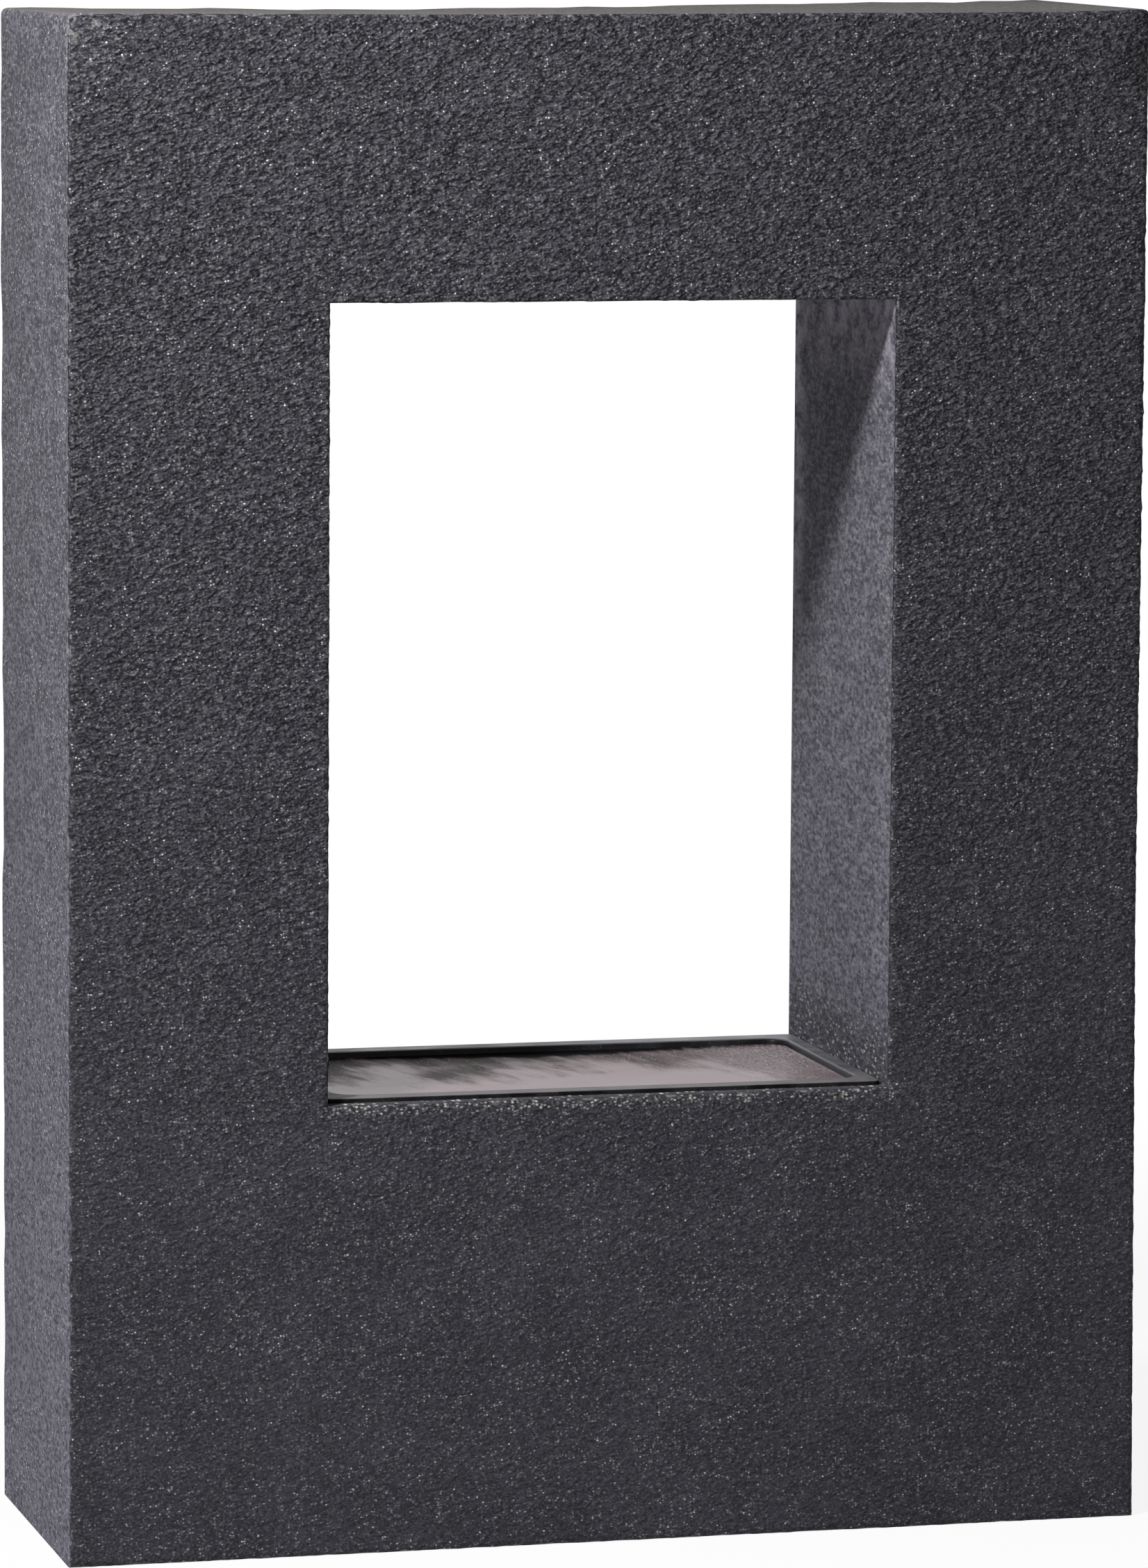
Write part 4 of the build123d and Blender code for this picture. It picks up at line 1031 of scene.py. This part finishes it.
bpy.ops.object.select_all(action="DESELECT")
pipe_place = (pipe_x, pipe_y, water_top_z)
bpy.ops.mesh.primitive_cylinder_add(vertices=48, radius=pipe_radius, depth=pipe_length, location=pipe_place)
bore_out(still_water, bpy.context.object)

water_stuff, water_shader = new_material("silty_water")
place = object_place(water_stuff)
place_x, place_y = parts_of(water_stuff, place)[:2]
slant, streak_turn = (0, 0, radians(13)), (0, 0, radians(24))
drift = rows_noise(water_stuff, place, drift_rows, 2.0, turn=slant)
feather = rows_noise(water_stuff, place, feather_rows, 4.0, 0.62, slant)
bank = plus(
    water_stuff,
    times(water_stuff, drift, 0.8),
    times(water_stuff, feather, 0.5),
    ramp(water_stuff, place_y, bank_front_y, bank_back_y, -0.14, 0.3),
    ramp(water_stuff, place_x, left_bank_start, left_bank_full, 0.0, 0.1),
    ramp(water_stuff, place_x, right_bank_start, right_bank_full, 0.0, 0.2),
)
silt = ramp(water_stuff, bank, 0.62, 1.0)
sunk = blend(water_stuff, ramp(water_stuff, place_x, pale_start_x, pale_full_x), water_brown, silt_pale)
colour = blend(water_stuff, silt, water_grey, sunk)
speckle = rows_noise(water_stuff, place, speckle_rows, 2.0, 0.6)
dark_grains = times(water_stuff, silt, ramp(water_stuff, speckle, 0.6, 0.36, 0.0, 0.6))
colour = blend(water_stuff, dark_grains, colour, tray_grey)
glint = specks(water_stuff, place, silt_rows, 0.42, 0.3)
colour = blend(water_stuff, times(water_stuff, glint, silt), colour, silt_glint)
# Painted reflection of the dark back wall: black along its foot, reaching further out in the middle, with no
# shine.
sag = ramp(water_stuff, unsigned(water_stuff, place_x), 0.0, sag_reach, sag_depth, 0.0)
foot = plus(water_stuff, place_y, sag, times(water_stuff, feather, 0.02))
wall_shade = ramp(water_stuff, foot, shade_start, shade_full)
colour = blend(water_stuff, wall_shade, colour, tray_black)
feed(water_stuff, water_shader, "Base Color", colour)
feed(water_stuff, water_shader, "Roughness", ramp(water_stuff, silt, 0.0, 1.0, 0.26, 0.5))
streak = rows_noise(water_stuff, place, streak_rows, 2.0, turn=streak_turn)
shine = times(
    water_stuff,
    ramp(water_stuff, streak, 0.34, 0.66, 0.19, 0.37),
    ramp(water_stuff, silt, 0.0, 1.0, 1.0, 0.1),
    ramp(water_stuff, wall_shade, 0.0, 1.0, 1.0, 0.0),
    ramp(water_stuff, place_x, bright_start_x, bright_full_x, 1.0, brighter),
)
feed(water_stuff, water_shader, "Specular IOR Level", shine)
water_shader.inputs["IOR"].default_value = 1.33
water_shader.inputs["Coat Weight"].default_value = 1.0
water_shader.inputs["Coat IOR"].default_value = 1.02
water_shader.inputs["Coat Roughness"].default_value = 0.3
water_shader.inputs["Coat Tint"].default_value = film_pink
scum = rows_noise(water_stuff, place, scum_rows, 3.0, 0.7)
bumped(water_stuff, water_shader, times(water_stuff, scum, silt), scum_height)
still_water.data.materials.append(water_stuff)
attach(still_water, "tray")


# Studio: a pale floor that fades into a white surround, a key lamp high on the left in front,
# soft light from all round, and the camera to the left of the frame and a little above it.
floor_half = 6.0
fade_start, fade_end, near_glow = 0.4, 1.5, 0.88
fill_level, white_level = 0.24, 1.0
key_place, key_target, key_width, key_power = (-1.02, -0.9, 1.6), Vector((0.0, -0.05, 0.42)), 0.24, 46
eye_place, eye_heading = (-0.9381, -3.6222, 0.8015), Vector((0.2499, 0.9614, -0.1155))
eye_roll, eye_lens, film_height = 0.0064, 173.15, 36.0
bpy.ops.object.select_all(action="DESELECT")
bpy.ops.mesh.primitive_plane_add(size=2 * floor_half)
floor = bpy.context.object
floor.name = "studio_floor"
floor_stuff, floor_shader = new_material("pale_floor")
floor_shader.inputs["Base Color"].default_value = (0.8, 0.8, 0.8, 1)
floor_shader.inputs["Roughness"].default_value = 0.9


def rays_seen(material):
    """One for what the camera sees, straight, mirrored or through glass."""
    rays = add_node(material, "ShaderNodeLightPath", {})
    kinds = [rays.outputs["Is " + kind + " Ray"] for kind in ("Camera", "Glossy", "Transmission")]
    return sums(material, "MAXIMUM", *kinds)


glow = add_node(floor_stuff, "ShaderNodeEmission", {"Color": (1, 1, 1, 1), "Strength": 1.0})
reach = add_node(floor_stuff, "ShaderNodeVectorMath", {0: object_place(floor_stuff)}, operation="LENGTH")
fade = ramp(floor_stuff, reach.outputs["Value"], fade_start, fade_end, near_glow, 1.0)
glow_share = times(floor_stuff, rays_seen(floor_stuff), fade)
mixed = add_node(
    floor_stuff,
    "ShaderNodeMixShader",
    {0: glow_share, 1: floor_shader.outputs["BSDF"], 2: glow.outputs["Emission"]},
)
feed(floor_stuff, floor_stuff.node_tree.nodes["Material Output"], "Surface", mixed.outputs["Shader"])
floor.data.materials.append(floor_stuff)

surround = bpy.data.worlds.new("studio_surround")
bpy.context.scene.world = surround
surround.use_nodes = True
surround_light = ramp(surround, rays_seen(surround), 0.0, 1.0, fill_level, white_level)
background = surround.node_tree.nodes["Background"]
background.inputs["Color"].default_value = (1, 1, 1, 1)
feed(surround, background, "Strength", surround_light)

key = bpy.data.lights.new("key_lamp", "AREA")
key.shape = "DISK"
key.size = key_width
key.energy = key_power
key_lamp = bpy.data.objects.new("key_lamp", key)
bpy.context.scene.collection.objects.link(key_lamp)
key_lamp.location = key_place
aim = key_target - key_lamp.location
key_lamp.rotation_euler = aim.to_track_quat("-Z", "Y").to_euler()

eye = bpy.data.cameras.new("photo_camera")
eye.sensor_fit = "VERTICAL"
eye.sensor_height = film_height
eye.lens = eye_lens
photo_camera = bpy.data.objects.new("photo_camera", eye)
bpy.context.scene.collection.objects.link(photo_camera)
forward = eye_heading.normalized()
right = forward.cross(Vector((0, 0, 1))).normalized()
turn = Matrix((right, right.cross(forward), -forward)).transposed().to_4x4()
photo_camera.matrix_world = Matrix.Translation(eye_place) @ turn @ Matrix.Rotation(eye_roll, 4, "Z")
bpy.context.scene.camera = photo_camera
bpy.context.scene.view_settings.view_transform = "Standard"
